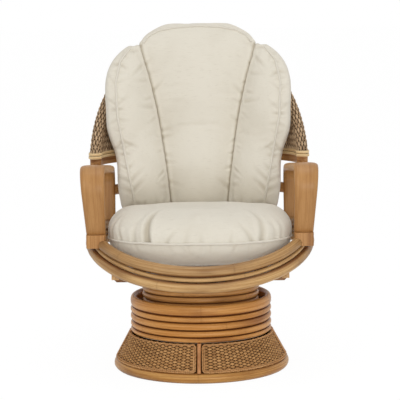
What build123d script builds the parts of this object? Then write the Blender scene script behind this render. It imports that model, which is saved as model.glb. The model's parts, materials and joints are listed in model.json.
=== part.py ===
from build123d import *
from math import copysign, cos, pi, radians, sin, sqrt, tan
import os

# Swivel rocker: a pole-and-cane armchair that turns and rocks on a woven drum base.
# Millimetres, +Z up, front towards -Y.  The origin is on the swivel axis at floor level.
# Three bodies move on each other: the base, the swivel head that turns on it, and the
# seat unit that rocks on the head's cross pin.

# ---------------------------------------------------------------- driving dimensions

straight_limit = 1e-9    # directions closer than this count as one straight line
fit_gap = 0.3            # clearance between pieces that only lie against each other
pin_clearance = 0.05     # radial running clearance of a shaft in its hole

# floor hoop and splayed woven skirt
base_hoop_radius = 272.5      # outer radius of the floor hoop
base_pole = 33.0              # its pole's diameter
base_flat = 1.0               # planed off the underside
base_turn = -1.8              # the base stands turned by this many degrees
skirt_bottom_radius = 266.0   # outer radius where the skirt stands on the hoop
skirt_top_radius = 221.5      # outer radius under the collar
skirt_thickness = 9.0
skirt_corner = 12.0           # rounded corners of each woven panel
skirt_post = 12.0             # diameter of the posts between the panels
skirt_post_gap = 1.5
skirt_height = 82.0

# outer collar: stacked hoops, listed from the bottom one to the top one
collar_radius = 219.0
collar_heights = (15.5, 21.2, 24.3, 19.4, 33.4)
collar_widths = (17.0, 21.0, 24.0, 20.0, 20.0)
hoop_flat = 0.8               # half width of the flats where stacked hoops touch

# wooden cross in the collar and the turntable on it
base_bearer_width = 66.0
base_bearer_thickness = 20.0
housing_depth = 8.0           # how far a bearer's ends enter the collar hoop
plate_size = 168.0
plate_thickness = 4.0
plate_corner = 18.0
thrust_ring_radius = 62.0
thrust_ring_width = 18.0
thrust_ring_height = 5.0
spindle_diameter = 16.0
spindle_head = 30.0
spindle_head_height = 5.0
spindle_room = 3.0            # round the spindle's washer in the timber
bolt_diameter = 8.0
bolt_head = 14.0
bolt_head_height = 5.0
bolt_circle = 76.0            # radius of the base plate's bolts, over the bearers
turn_plate_radius = 68.0

# rocker: cradle on the turntable, bracket under the seat, one cross pin
pivot_height = 226.0
cradle_width = 100.0          # over the cradle's cheeks
cradle_length = 236.0         # of its foot, front to rear
cradle_foot_width = 120.0
cheek_thickness = 4.0
cheek_radius = 20.0
cheek_gap = 0.6               # between a cradle cheek and a bracket cheek
pivot_pin_diameter = 14.0
pivot_pin_head = 22.0
pivot_pin_head_thickness = 3.0
cheek_foot = 34.0             # half width of a cheek at its plate
bracket_length = 230.0
bracket_bolt_x = 126.0
spring_cup_radius = 15.0
spring_cup_height = 5.0
bracket_width = 150.0
spring_coil_radius = 20.0
spring_wire = 5.0
spring_turns = 5
spring_offset_x = 25.0
spring_offset_y = 88.0

# inner collar and timber under the seat, all leaning back by the same angle
seat_lean = 2.5
inner_collar_radius = 181.5
inner_collar_bottom = 200.0
inner_pole = 19.8
inner_hoops = 4
seat_bearer_half_length = 267.0
seat_bearer_width = 58.0
seat_bearer_thickness = 23.0
seat_bearer_offset = 78.0
seat_bearer_chamfer = 10.0
side_board_thickness = 22.0
side_board_height = 34.0
side_board_rear_height = 84.0
slat_width = 32.0
slat_thickness = 9.0
slat_count = 7
slat_pitch = 50.0

# seat hoops: a scooped ring, high at the sides and low at the front
seat_hoop_radius = 339.0      # centreline of the lower pole, in plan
seat_hoop_pole = 30.0
seat_hoop_upper_pole = 32.0
seat_hoop_inset = 11.0        # the upper pole stands in from the lower one by this
seat_hoop_rise = 44.0         # and above it by this
seat_hoop_crest = 408.0       # where the front and rear slopes would meet
front_slope = 0.30
rear_slope = 0.16
crest_round = 50.0
cane_ease = 0.62              # the thin pole between them just clears both
hoop_spans = 12               # pairs of arcs round each scooped ring
board_reach = 14.0
slat_span = 340.0
slat_inset = 3.0
arm_foot_taper = 120.0

# arms: bent laminated loops
arm_thickness = 27.0
arm_width_foot = 59.0         # of the front leg where it meets its block
arm_width_top = 76.0          # of the armrest at its front
arm_width_rear = 70.0
arm_reach = 16.0              # the armrest's outer edge beyond the woven back
arm_rear_inset = 8.0          # and the rear leg's inside it
arm_seam_height = 438.0
arm_front_foot_y = -125.0
arm_front_lean = 0.286
arm_top_height = 643.5        # centreline of the armrest at its front
arm_top_slope = 0.125
arm_rear_y = 200.0
arm_rear_foot_y = 165.0
arm_front_bend = 56.0
arm_rear_bend = 44.0
arm_edge = 7.0
foot_block_length = 58.0
foot_block_sink = 14.6        # below the upper pole's centreline

# back: posts, rails and the woven shell
post_pole = 28.0
post_offset = 120.0
mid_rail_pole = 33.0
mid_rail_height = 532.0
mid_rail_back_y = 300.0
shell_half_width = 346.0      # of the woven back in plan, to its front ends
shell_depth = 200.0           # from its front ends to its rearmost line
shell_front_y = 150.0
shell_arch_rise = 387.0       # from the lower rail's top to the crown, outside
shell_thickness = 36.0
skin_thickness = 7.0
recline = 20.0
lower_rail_bottom = 613.0
lower_rail_height = 25.0
binding_height = 13.0
binding_proud = 3.0
arch_pole = 22.0
rib_pole = 18.0
rib_offsets = (-230.0, -120.0, 0.0, 120.0, 230.0)
arch_spans = 10               # pairs of arcs along the shell's arched edge

# cushions
seat_cushion_half_width = 284.0
seat_cushion_front = -292.0
seat_cushion_rear = 208.0
seat_cushion_height = 165.0
seat_cushion_squareness = 2.3
back_cushion_bottom = 488.0
back_cushion_top = 1048.0
back_cushion_ease = 5.4       # off the woven shell
back_rest_blend = 106.0       # height in which its rear passes from the mid rail to the shell
back_cushion_seam = 62.0      # thickness at the sewn channels
back_cushion_crown = 118.0    # and at the middle of the centre panel
wing_side = 70.0
wing_crown = 36.0
wing_round = 10.0
wing_overlap = 5.0            # a wing is cut back from here by the centre panel
cushion_gap = 0.6

# ---------------------------------------------------------------- levels worked out

skirt_bottom = base_pole - base_flat
collar_bottom = skirt_bottom + skirt_height
bearer_top = collar_bottom + collar_heights[0] + collar_heights[1]
thrust_ring_bottom = bearer_top + plate_thickness
turn_plate_bottom = thrust_ring_bottom + thrust_ring_height + fit_gap
cradle_bottom = turn_plate_bottom + plate_thickness
cradle_top = cradle_bottom + plate_thickness

seat_plane = Plane(
    origin=(0, 0, inner_collar_bottom),
    x_dir=(1, 0, 0),
    z_dir=(0, sin(radians(seat_lean)), cos(radians(seat_lean))),
)
bearer_level = inner_hoops * inner_pole
board_level = bearer_level + seat_bearer_thickness
slat_level = board_level + side_board_height
deck_level = slat_level + slat_thickness
board_outer = seat_bearer_half_length
board_inner = board_outer - side_board_thickness

recline_shift = tan(radians(recline))
shell_inner_half = shell_half_width - shell_thickness
shell_inner_depth = shell_depth - shell_thickness
shell_mid_half = shell_half_width - shell_thickness / 2
arm_outer = shell_half_width + arm_reach
arm_inner = arm_outer - arm_width_top
arm_outer_foot = arm_inner + arm_width_foot
arm_outer_rear = shell_half_width - arm_rear_inset
arm_inner_rear = arm_outer_rear - arm_width_rear
shell_mid_depth = shell_depth - shell_thickness / 2
binding_bottom = lower_rail_bottom + lower_rail_height

os.makedirs("parts", exist_ok=True)


def save(piece, name):
    """Label a finished piece and write its STEP file."""
    piece.part.label = name
    export_step(piece.part, f"parts/{name}.step")


def add_biarcs(points, directions):
    """Join points by pairs of tangent arcs that leave and arrive along the directions."""
    for start, end, leave, arrive in zip(points, points[1:], directions, directions[1:]):
        chord = end - start
        across = chord.dot(leave + arrive)
        facing = 2 * (1 - leave.dot(arrive))
        if facing < straight_limit:
            reach = chord.dot(chord) / (2 * across)
        else:
            reach = (sqrt(across**2 + facing * chord.dot(chord)) - across) / facing
        near = start + leave * reach
        far = end - arrive * reach
        middle = (near + far) / 2
        TangentArc(start, middle, tangent=leave)
        TangentArc(middle, end, tangent=far - near)


# ---------------------------------------------------------------- base

with BuildPart() as base_hoop:
    with BuildSketch(Plane.XZ):
        with Locations((base_hoop_radius - base_pole / 2, base_pole / 2 - base_flat)):
            Circle(base_pole / 2)
        with Locations((base_hoop_radius - base_pole / 2, -base_pole / 2)):
            Rectangle(base_pole, base_pole, mode=Mode.SUBTRACT)
    revolve(axis=Axis.Z)
save(base_hoop, "base_hoop")

skirt_slope = (skirt_bottom_radius - skirt_top_radius) / skirt_height
post_half_angle = (skirt_post / 2 + skirt_post_gap) / skirt_top_radius * 180 / pi
panel_angle = 90 - 2 * post_half_angle
for quarter, side in enumerate(("front", "right", "rear", "left")):
    middle_angle = -90 + 90 * quarter + base_turn + 45
    first_angle = middle_angle - panel_angle / 2
    with BuildPart() as panel:
        with BuildSketch(Plane.XZ.rotated((0, 0, first_angle))):
            with BuildLine():
                low = skirt_bottom + fit_gap
                high = collar_bottom - fit_gap
                Polyline(
                    (skirt_bottom_radius - skirt_thickness, low),
                    (skirt_bottom_radius, low),
                    (skirt_top_radius, high),
                    (skirt_top_radius - skirt_thickness, high),
                    close=True,
                )
            make_face()
        revolve(axis=Axis.Z, revolution_arc=panel_angle)
        ends = panel.faces().filter_by(GeomType.PLANE).filter_by(lambda f: abs(f.normal_at().Z) < 0.1)
        corners = [e for f in ends for e in f.edges() if abs(e.tangent_at(0.5).Z) < 0.01]
        fillet(corners, radius=skirt_corner)
    save(panel, f"skirt_panel_{side}")

with BuildPart() as skirt_posts:
    foot_radius = skirt_bottom_radius - skirt_thickness / 2
    for quarter in range(4):
        angle = -90 + 90 * quarter + base_turn
        outward = Vector(1, 0, 0).rotate(Axis.Z, angle)
        foot = outward * (foot_radius + skirt_slope * skirt_post) + Vector(0, 0, skirt_bottom - skirt_post)
        lean = Vector(0, 0, 1) - outward * skirt_slope
        with BuildSketch(Plane(origin=foot, z_dir=lean)):
            Circle(skirt_post / 2)
        extrude(amount=(skirt_height + 2 * skirt_post) * lean.length)
    with BuildSketch(Plane.XY.offset(skirt_bottom + fit_gap)):
        Circle(base_hoop_radius)
    extrude(amount=skirt_height - 2 * fit_gap, mode=Mode.INTERSECT)
save(skirt_posts, "skirt_posts")


def pole_hoop(plane, outer_radius, width, height):
    """Return a bent pole closed to a hoop, with narrow flats above and below."""
    with BuildPart() as hoop:
        with BuildSketch(plane):
            Circle(outer_radius)
            Circle(outer_radius - width, mode=Mode.SUBTRACT)
        extrude(amount=height)
        fillet(hoop.edges().filter_by(GeomType.CIRCLE), radius=min(width, height) / 2 - hoop_flat)
    return hoop


collar_names = ("lowest", "lower", "middle", "upper", "top")
bearer_reach = collar_radius - collar_widths[1] + housing_depth
hoop_bottom = collar_bottom
for index, name in enumerate(collar_names):
    whole_hoop = pole_hoop(
        Plane.XY.offset(hoop_bottom), collar_radius, collar_widths[index], collar_heights[index]
    )
    with BuildPart() as collar_hoop:
        add(whole_hoop.part)
        if name == "lower":
            with BuildSketch(Plane.XY.offset(bearer_top - base_bearer_thickness - fit_gap)):
                Rectangle(2 * (bearer_reach + fit_gap), base_bearer_width + 2 * fit_gap)
                Rectangle(base_bearer_width + 2 * fit_gap, 2 * (bearer_reach + fit_gap))
            extrude(amount=base_bearer_thickness + 2 * fit_gap, mode=Mode.SUBTRACT)
    save(collar_hoop, f"collar_hoop_{name}")
    hoop_bottom += collar_heights[index]

for name, turn, lap_side in (("base_bearer_long", 90, 1), ("base_bearer_cross", 0, -1)):
    with BuildPart() as bearer:
        with BuildSketch(Plane.XY.offset(bearer_top - base_bearer_thickness)):
            Circle(bearer_reach)
            Rectangle(3 * collar_radius, base_bearer_width, rotation=turn, mode=Mode.INTERSECT)
            Circle(spindle_head / 2 + spindle_room, mode=Mode.SUBTRACT)
            with PolarLocations(bolt_circle, 4):
                Circle(bolt_diameter / 2 + fit_gap, mode=Mode.SUBTRACT)
        extrude(amount=base_bearer_thickness)
        lap_bottom = bearer_top - base_bearer_thickness
        if lap_side > 0:
            lap_bottom += base_bearer_thickness / 2
        with BuildSketch(Plane.XY.offset(lap_bottom)):
            Rectangle(base_bearer_width + fit_gap, base_bearer_width + fit_gap)
        extrude(amount=base_bearer_thickness / 2, mode=Mode.SUBTRACT)
    save(bearer, name)



# ---------------------------------------------------------------- turntable

with BuildPart() as swivel_base_plate:
    with BuildSketch(Plane.XY.offset(bearer_top)):
        RectangleRounded(plate_size, plate_size, plate_corner)
        Circle(spindle_diameter / 2 + pin_clearance, mode=Mode.SUBTRACT)
        with PolarLocations(bolt_circle, 4):
            Circle(bolt_diameter / 2 + fit_gap, mode=Mode.SUBTRACT)
    extrude(amount=plate_thickness)
save(swivel_base_plate, "swivel_base_plate")

with BuildPart() as swivel_thrust_ring:
    with BuildSketch(Plane.XY.offset(thrust_ring_bottom)):
        Circle(thrust_ring_radius)
        Circle(thrust_ring_radius - thrust_ring_width, mode=Mode.SUBTRACT)
    extrude(amount=thrust_ring_height)
    fillet(swivel_thrust_ring.edges().filter_by(GeomType.CIRCLE), radius=thrust_ring_height / 4)
save(swivel_thrust_ring, "swivel_thrust_ring")

with BuildPart() as swivel_plate_bolts:
    with BuildSketch(Plane.XY.offset(bearer_top + plate_thickness)):
        with PolarLocations(bolt_circle, 4):
            Circle(bolt_head / 2)
    extrude(amount=bolt_head_height)
    head_tops = swivel_plate_bolts.faces().filter_by(Axis.Z).group_by(Axis.Z)[-1]
    fillet(head_tops.edges(), radius=bolt_head_height / 3)
    with BuildSketch(Plane.XY.offset(bearer_top - base_bearer_thickness)):
        with PolarLocations(bolt_circle, 4):
            Circle(bolt_diameter / 2)
    extrude(amount=base_bearer_thickness + plate_thickness)
    with BuildSketch(Plane.XY.offset(bearer_top - base_bearer_thickness - bolt_head_height)):
        with PolarLocations(bolt_circle, 4):
            RegularPolygon(bolt_head / 2, 6)
    extrude(amount=bolt_head_height)
save(swivel_plate_bolts, "swivel_plate_bolts")

with BuildPart() as swivel_turn_plate:
    with BuildSketch(Plane.XY.offset(turn_plate_bottom)):
        Circle(turn_plate_radius)
        Circle(spindle_diameter / 2 + pin_clearance, mode=Mode.SUBTRACT)
    extrude(amount=plate_thickness)
    rims = swivel_turn_plate.edges().filter_by(GeomType.CIRCLE)
    chamfer(rims.group_by(SortBy.RADIUS)[-1], length=plate_thickness / 4)
save(swivel_turn_plate, "swivel_turn_plate")

with BuildPart() as swivel_spindle:
    with BuildSketch(Plane.XY.offset(cradle_top)):
        Circle(spindle_head / 2)
    extrude(amount=spindle_head_height)
    chamfer(swivel_spindle.edges().filter_by(GeomType.CIRCLE).group_by(Axis.Z)[-1], length=1)
    with BuildSketch(Plane.XY.offset(bearer_top - spindle_head_height)):
        Circle(spindle_diameter / 2)
    extrude(amount=cradle_top - bearer_top + spindle_head_height)
    with BuildSketch(Plane.XY.offset(bearer_top - spindle_head_height - fit_gap)):
        Circle(spindle_head / 2)
    extrude(amount=spindle_head_height)
save(swivel_spindle, "swivel_spindle")

# ---------------------------------------------------------------- rocker

cradle_half = cradle_width / 2
pivot_axis_plane = Plane(origin=(0, 0, pivot_height), x_dir=(0, 1, 0), z_dir=(1, 0, 0))
with BuildPart() as rocker_cradle:
    with BuildSketch(Plane.XY.offset(cradle_bottom)):
        RectangleRounded(cradle_foot_width, cradle_length, plate_corner)
        Circle(spindle_diameter / 2 + pin_clearance, mode=Mode.SUBTRACT)
    extrude(amount=plate_thickness)
    for side in (-1, 1):
        cheek_start = side * cradle_half if side < 0 else cradle_half - cheek_thickness
        with BuildSketch(pivot_axis_plane.offset(cheek_start)):
            with BuildLine():
                drop = cradle_top - pivot_height
                toe = Line((-cheek_foot, drop), (cheek_foot, drop))
                right = Line(toe @ 1, (cheek_radius, 0))
                crown = ThreePointArc(right @ 1, (0, cheek_radius), (-cheek_radius, 0))
                Line(crown @ 1, toe @ 0)
            make_face()
            Circle(pivot_pin_diameter / 2 + pin_clearance, mode=Mode.SUBTRACT)
        extrude(amount=cheek_thickness)
    for end in (-1, 1):
        with BuildSketch(Plane.XY.offset(cradle_top)):
            with Locations(*[(turn * spring_offset_x, end * spring_offset_y) for turn in (-1, 1)]):
                Circle(spring_cup_radius)
        extrude(amount=spring_cup_height)
save(rocker_cradle, "rocker_cradle")

bracket_plane = seat_plane.offset(bearer_level)
bracket_inner = cradle_half + cheek_gap
with BuildPart() as rocker_bracket:
    with BuildSketch(bracket_plane):
        RectangleRounded(bracket_width, bracket_length, plate_corner)
        with GridLocations(bracket_bolt_x, 2 * seat_bearer_offset, 2, 2):
            Circle(bolt_diameter / 2 + fit_gap, mode=Mode.SUBTRACT)
    extrude(amount=-plate_thickness)
    for side in (-1, 1):
        cheek_start = bracket_inner if side > 0 else -bracket_inner - cheek_thickness
        with BuildSketch(pivot_axis_plane.offset(cheek_start)):
            with BuildLine():
                rise = inner_collar_bottom + bearer_level - plate_thickness / 2 - pivot_height
                lean_rise = cheek_foot * tan(radians(seat_lean))
                left = Line((-cheek_foot, rise + lean_rise), (-cheek_radius, 0))
                crown = ThreePointArc(left @ 1, (0, -cheek_radius), (cheek_radius, 0))
                right = Line(crown @ 1, (cheek_foot, rise - lean_rise))
                Line(right @ 1, left @ 0)
            make_face()
            Circle(pivot_pin_diameter / 2 + pin_clearance, mode=Mode.SUBTRACT)
        extrude(amount=cheek_thickness)
    with BuildSketch(bracket_plane.offset(-plate_thickness)):
        with GridLocations(2 * spring_offset_x, 2 * spring_offset_y, 2, 2):
            Circle(spring_cup_radius)
    extrude(amount=-spring_cup_height)
save(rocker_bracket, "rocker_bracket")

pin_half = bracket_inner + cheek_thickness
with BuildPart() as rocker_pivot_pin:
    with BuildSketch(pivot_axis_plane.offset(-pin_half - fit_gap)):
        Circle(pivot_pin_diameter / 2)
    extrude(amount=2 * pin_half + 2 * fit_gap)
    for start in (-pin_half - fit_gap - pivot_pin_head_thickness, pin_half + fit_gap):
        with BuildSketch(pivot_axis_plane.offset(start)):
            Circle(pivot_pin_head / 2)
        extrude(amount=pivot_pin_head_thickness)
    fillet(rocker_pivot_pin.edges().filter_by(GeomType.CIRCLE).group_by(Axis.X)[0], radius=1)
    fillet(rocker_pivot_pin.edges().filter_by(GeomType.CIRCLE).group_by(Axis.X)[-1], radius=1)
save(rocker_pivot_pin, "rocker_pivot_pin")

with BuildPart() as rocker_plate_bolts:
    with BuildSketch(bracket_plane.offset(-plate_thickness)):
        with GridLocations(bracket_bolt_x, 2 * seat_bearer_offset, 2, 2):
            RegularPolygon(bolt_head / 2, 6)
    extrude(amount=-bolt_head_height)
    with BuildSketch(bracket_plane.offset(-plate_thickness)):
        with GridLocations(bracket_bolt_x, 2 * seat_bearer_offset, 2, 2):
            Circle(bolt_diameter / 2)
    extrude(amount=plate_thickness + seat_bearer_thickness)
save(rocker_plate_bolts, "rocker_plate_bolts")

for end, end_name in ((-1, "front"), (1, "rear")):
    coil_bottom = cradle_top + spring_wire / 2
    bracket_foot = inner_collar_bottom + bearer_level - plate_thickness
    coil_top = bracket_foot - end * spring_offset_y * tan(radians(seat_lean)) - spring_wire - 2 * fit_gap
    quarter_rise = (coil_top - coil_bottom) / (4 * spring_turns)
    with BuildPart() as rocker_springs:
        for side in (-1, 1):
            with BuildLine() as coil:
                points = []
                directions = []
                for step in range(4 * spring_turns + 1):
                    angle = step * pi / 2
                    spot = Vector(
                        side * spring_offset_x + spring_coil_radius * cos(angle),
                        end * spring_offset_y + spring_coil_radius * sin(angle),
                        coil_bottom + quarter_rise * step,
                    )
                    climb = quarter_rise / (pi / 2)
                    heading = Vector(
                        -spring_coil_radius * sin(angle), spring_coil_radius * cos(angle), climb
                    )
                    points.append(spot)
                    directions.append(heading.normalized())
                add_biarcs(points, directions)
            with BuildSketch(Plane(origin=points[0], z_dir=directions[0])):
                Circle(spring_wire / 2)
            sweep(path=coil.wires()[0])
    save(rocker_springs, f"rocker_springs_{end_name}")
least_coil_gap = 4 * quarter_rise - spring_wire
print(f"least gap between spring curls {least_coil_gap:.2f} mm")


# ---------------------------------------------------------------- collar and timber of the seat

for index in range(inner_hoops):
    name = f"inner_collar_hoop_{index + 1}"
    level = seat_plane.offset(index * inner_pole)
    save(pole_hoop(level, inner_collar_radius, inner_pole + 2 * hoop_flat, inner_pole), name)

for end, name in ((-1, "seat_bearer_front"), (1, "seat_bearer_rear")):
    with BuildPart() as seat_bearer:
        with BuildSketch(bracket_plane):
            with Locations((0, end * seat_bearer_offset)):
                Rectangle(2 * seat_bearer_half_length, seat_bearer_width)
            with Locations(*[(turn * bracket_bolt_x / 2, end * seat_bearer_offset) for turn in (-1, 1)]):
                Circle(bolt_diameter / 2 + fit_gap, mode=Mode.SUBTRACT)
        extrude(amount=seat_bearer_thickness)
        tips = seat_bearer.faces().filter_by(Axis.X)
        low_edges = [tip.edges().sort_by(Axis.Z)[0] for tip in tips]
        chamfer(low_edges, length=seat_bearer_chamfer)
    save(seat_bearer, name)


def hoop_height(y):
    """Height of the lower seat pole's centreline above a point y of its ring."""
    falling = (front_slope + rear_slope) / 2
    tilting = (front_slope - rear_slope) / 2
    return seat_hoop_crest + tilting * y - falling * sqrt(y**2 + crest_round**2)


def hoop_slope(y):
    """Slope of that centreline along Y."""
    falling = (front_slope + rear_slope) / 2
    tilting = (front_slope - rear_slope) / 2
    return tilting - falling * y / sqrt(y**2 + crest_round**2)


def scooped_hoop(radius, rise, pole):
    """Return a round pole bent to the seat's scooped ring."""
    with BuildPart() as hoop:
        with BuildLine() as path:
            points = []
            directions = []
            for step in range(hoop_spans + 1):
                angle = 2 * pi * step / hoop_spans
                y = -radius * cos(angle)
                points.append(Vector(radius * sin(angle), y, hoop_height(y) + rise))
                heading = Vector(cos(angle), sin(angle), sin(angle) * hoop_slope(y))
                directions.append(heading.normalized())
            add_biarcs(points, directions)
        with BuildSketch(Plane(origin=points[0], z_dir=directions[0])):
            Circle(pole / 2)
        sweep(path=path.wires()[0])
    return hoop


upper_radius = seat_hoop_radius - seat_hoop_inset
pole_gap = sqrt(seat_hoop_inset**2 + seat_hoop_rise**2)
cane_pole = pole_gap - (seat_hoop_pole + seat_hoop_upper_pole) / 2
cane_share = (seat_hoop_pole + cane_pole) / 2 / pole_gap
lower_hoop = scooped_hoop(seat_hoop_radius, 0, seat_hoop_pole)
upper_hoop = scooped_hoop(upper_radius, seat_hoop_rise, seat_hoop_upper_pole)
cane_radius = seat_hoop_radius - cane_share * seat_hoop_inset
cane_rise = cane_share * seat_hoop_rise
cane_hoop = scooped_hoop(cane_radius, cane_rise, cane_pole - 2 * cane_ease)
cane_cope = scooped_hoop(cane_radius, cane_rise, cane_pole + 2 * fit_gap)
save(lower_hoop, "seat_hoop_lower")
save(upper_hoop, "seat_hoop_upper")
save(cane_hoop, "seat_hoop_cane")
lower_cope = scooped_hoop(seat_hoop_radius, 0, seat_hoop_pole + 2 * fit_gap)
upper_cope = scooped_hoop(upper_radius, seat_hoop_rise, seat_hoop_upper_pole + 2 * fit_gap)

board_end = sqrt(seat_hoop_radius**2 - board_outer**2)
for side, name in ((-1, "seat_side_board_left"), (1, "seat_side_board_right")):
    with BuildPart() as side_board:
        lengthwise = Plane(origin=seat_plane.origin, x_dir=seat_plane.y_dir, z_dir=(1, 0, 0))
        with BuildSketch(lengthwise.offset(side * (board_inner + board_outer) / 2)):
            with BuildLine():
                Polyline(
                    (-board_end - board_reach, board_level),
                    (board_end, board_level),
                    (board_end + board_reach, board_level + side_board_rear_height),
                    (board_end - board_reach, board_level + side_board_rear_height),
                    (slat_span / 2, slat_level),
                    (-slat_span / 2, slat_level),
                    (-board_end - board_reach, slat_level),
                    close=True,
                )
            make_face()
        extrude(amount=side_board_thickness / 2, both=True)
        add(lower_cope.part, mode=Mode.SUBTRACT)
        pieces = side_board.solids().sort_by(SortBy.VOLUME)
        for chip in pieces[:-1]:
            add(chip, mode=Mode.SUBTRACT)
    save(side_board, name)

with BuildPart() as seat_slats:
    with BuildSketch(seat_plane.offset(slat_level)):
        with GridLocations(0, slat_pitch, 1, slat_count):
            Rectangle(2 * board_outer - 2 * slat_inset, slat_width)
    extrude(amount=slat_thickness)
    fillet(seat_slats.edges().filter_by(Axis.X), radius=slat_thickness / 3)
save(seat_slats, "seat_slats")

# ---------------------------------------------------------------- arms

for side, side_name in ((-1, "left"), (1, "right")):
    with BuildPart() as arm:
        with BuildSketch(Plane.YZ):
            with BuildLine():
                front_top_y = arm_front_foot_y - arm_front_lean * (arm_top_height - arm_seam_height)
                rear_top = arm_top_height - arm_top_slope * (arm_rear_y - front_top_y)
                arm_foot = hoop_height(arm_rear_foot_y) + seat_hoop_rise
                FilletPolyline(
                    (arm_front_foot_y + arm_front_lean * arm_thickness, arm_seam_height - arm_thickness),
                    (front_top_y, arm_top_height),
                    (arm_rear_y, rear_top),
                    (arm_rear_foot_y, arm_foot),
                    radius=[arm_front_bend, arm_rear_bend],
                )
            trace(line_width=arm_thickness)
        extrude(amount=arm_outer)
        with BuildSketch(Plane.XY.offset(arm_seam_height)):
            with BuildLine():
                front = -shell_half_width
                rear = shell_half_width
                Polyline(
                    (arm_inner, front),
                    (arm_outer, front),
                    (arm_outer, 0),
                    (arm_outer_rear, rear_top - arm_seam_height),
                    (arm_outer_rear, rear),
                    (arm_inner_rear, rear),
                    (arm_inner_rear, arm_foot_taper),
                    (arm_inner, arm_front_foot_y),
                    close=True,
                )
            make_face()
        extrude(amount=arm_top_height, both=True, mode=Mode.INTERSECT)
        with BuildSketch(Plane.XZ):
            with BuildLine():
                Polyline(
                    (arm_outer_foot, arm_seam_height),
                    (arm_outer, arm_top_height),
                    (arm_outer + arm_thickness, arm_top_height),
                    (arm_outer + arm_thickness, arm_seam_height - arm_thickness),
                    (arm_outer_foot, arm_seam_height - arm_thickness),
                    close=True,
                )
            make_face()
        extrude(amount=shell_half_width, both=True, mode=Mode.SUBTRACT)
        with BuildSketch(Plane.XY.offset(arm_seam_height)):
            with Locations((arm_outer / 2, -arm_outer / 2)):
                Rectangle(2 * arm_outer, arm_outer)
        extrude(amount=-2 * arm_thickness, mode=Mode.SUBTRACT)
        add(upper_cope.part, mode=Mode.SUBTRACT)
        with BuildSketch(Plane.XY.offset(lower_rail_bottom - fit_gap)):
            with Locations((0, shell_front_y)):
                Ellipse(shell_half_width + fit_gap, shell_depth + fit_gap)
                Ellipse(shell_inner_half - fit_gap, shell_inner_depth - fit_gap, mode=Mode.SUBTRACT)
            with Locations((0, shell_front_y - fit_gap - shell_depth / 2)):
                Rectangle(2 * arm_outer, shell_depth, mode=Mode.SUBTRACT)
        extrude(amount=lower_rail_height, mode=Mode.SUBTRACT)
        pieces = arm.solids().sort_by(SortBy.VOLUME)
        for chip in pieces[:-1]:
            add(chip, mode=Mode.SUBTRACT)
    if side < 0:
        mirrored = mirror(arm.part, about=Plane.YZ)
        with BuildPart() as arm:
            add(mirrored)
    save(arm, f"arm_{side_name}")


for side, side_name in ((-1, "left"), (1, "right")):
    with BuildPart() as foot_block:
        with BuildSketch(Plane.XY.offset(arm_seam_height - fit_gap)):
            with Locations((side * (arm_inner + arm_outer_foot) / 2, arm_front_foot_y)):
                RectangleRounded(arm_outer_foot - arm_inner, foot_block_length, arm_edge)
        block_bottom = hoop_height(arm_front_foot_y) + seat_hoop_rise - foot_block_sink
        extrude(amount=block_bottom - arm_seam_height + fit_gap)
        add(upper_cope.part, mode=Mode.SUBTRACT)
        add(lower_cope.part, mode=Mode.SUBTRACT)
        add(cane_cope.part, mode=Mode.SUBTRACT)
        pieces = foot_block.solids().sort_by(SortBy.VOLUME)
        for chip in pieces[:-1]:
            add(chip, mode=Mode.SUBTRACT)
    save(foot_block, f"arm_foot_{side_name}")

# ---------------------------------------------------------------- back frame

leg_share = (mid_rail_height - arm_foot) / (rear_top - arm_foot)
rail_end_y = arm_rear_foot_y + leg_share * (arm_rear_y - arm_rear_foot_y)
rail_bow = mid_rail_back_y - rail_end_y
rail_radius = (arm_inner_rear**2 + rail_bow**2) / rail_bow / 2
rail_centre_y = mid_rail_back_y - rail_radius
post_reach = rail_radius + (mid_rail_pole + post_pole) / 2 + 2 * fit_gap
post_y = rail_centre_y + sqrt(post_reach**2 - post_offset**2)
post_foot_y = sqrt(upper_radius**2 - post_offset**2)
post_foot_height = hoop_height(post_foot_y) + seat_hoop_rise
post_slope = (post_y - post_foot_y) / (mid_rail_height - post_foot_height)
post_head_y = post_foot_y + post_slope * (lower_rail_bottom - post_foot_height)
post_lean = Vector(0, post_head_y - post_foot_y, lower_rail_bottom - post_foot_height)
for side, name in ((-1, "back_post_left"), (1, "back_post_right")):
    with BuildPart() as back_post:
        foot = Vector(side * post_offset, post_foot_y, post_foot_height)
        with BuildSketch(Plane(origin=foot, z_dir=post_lean)):
            Circle(post_pole / 2)
        extrude(amount=post_lean.length + post_pole)
        with BuildSketch(Plane.XY.offset(lower_rail_bottom - fit_gap)):
            with Locations((0, post_head_y)):
                Rectangle(3 * shell_half_width, shell_depth)
        extrude(amount=3 * post_pole, mode=Mode.SUBTRACT)
        add(upper_cope.part, mode=Mode.SUBTRACT)
        pieces = back_post.solids().sort_by(SortBy.VOLUME)
        for chip in pieces[:-1]:
            add(chip, mode=Mode.SUBTRACT)
    save(back_post, name)

with BuildPart() as back_mid_rail:
    with BuildSketch(Plane.XZ):
        with Locations((rail_radius, mid_rail_height)):
            Circle(mid_rail_pole / 2)
    revolve(axis=Axis.Z, revolution_arc=360)
rail_ring = back_mid_rail.part.moved(Location((0, rail_centre_y, 0)))
with BuildPart() as back_mid_rail:
    with BuildSketch(Plane.XY.offset(mid_rail_height - mid_rail_pole)):
        with Locations((0, rail_centre_y + rail_radius)):
            Rectangle(2 * (arm_inner_rear - fit_gap), 2 * rail_radius)
    extrude(amount=2 * mid_rail_pole)
    add(rail_ring, mode=Mode.INTERSECT)
save(back_mid_rail, "back_mid_rail")


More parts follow.
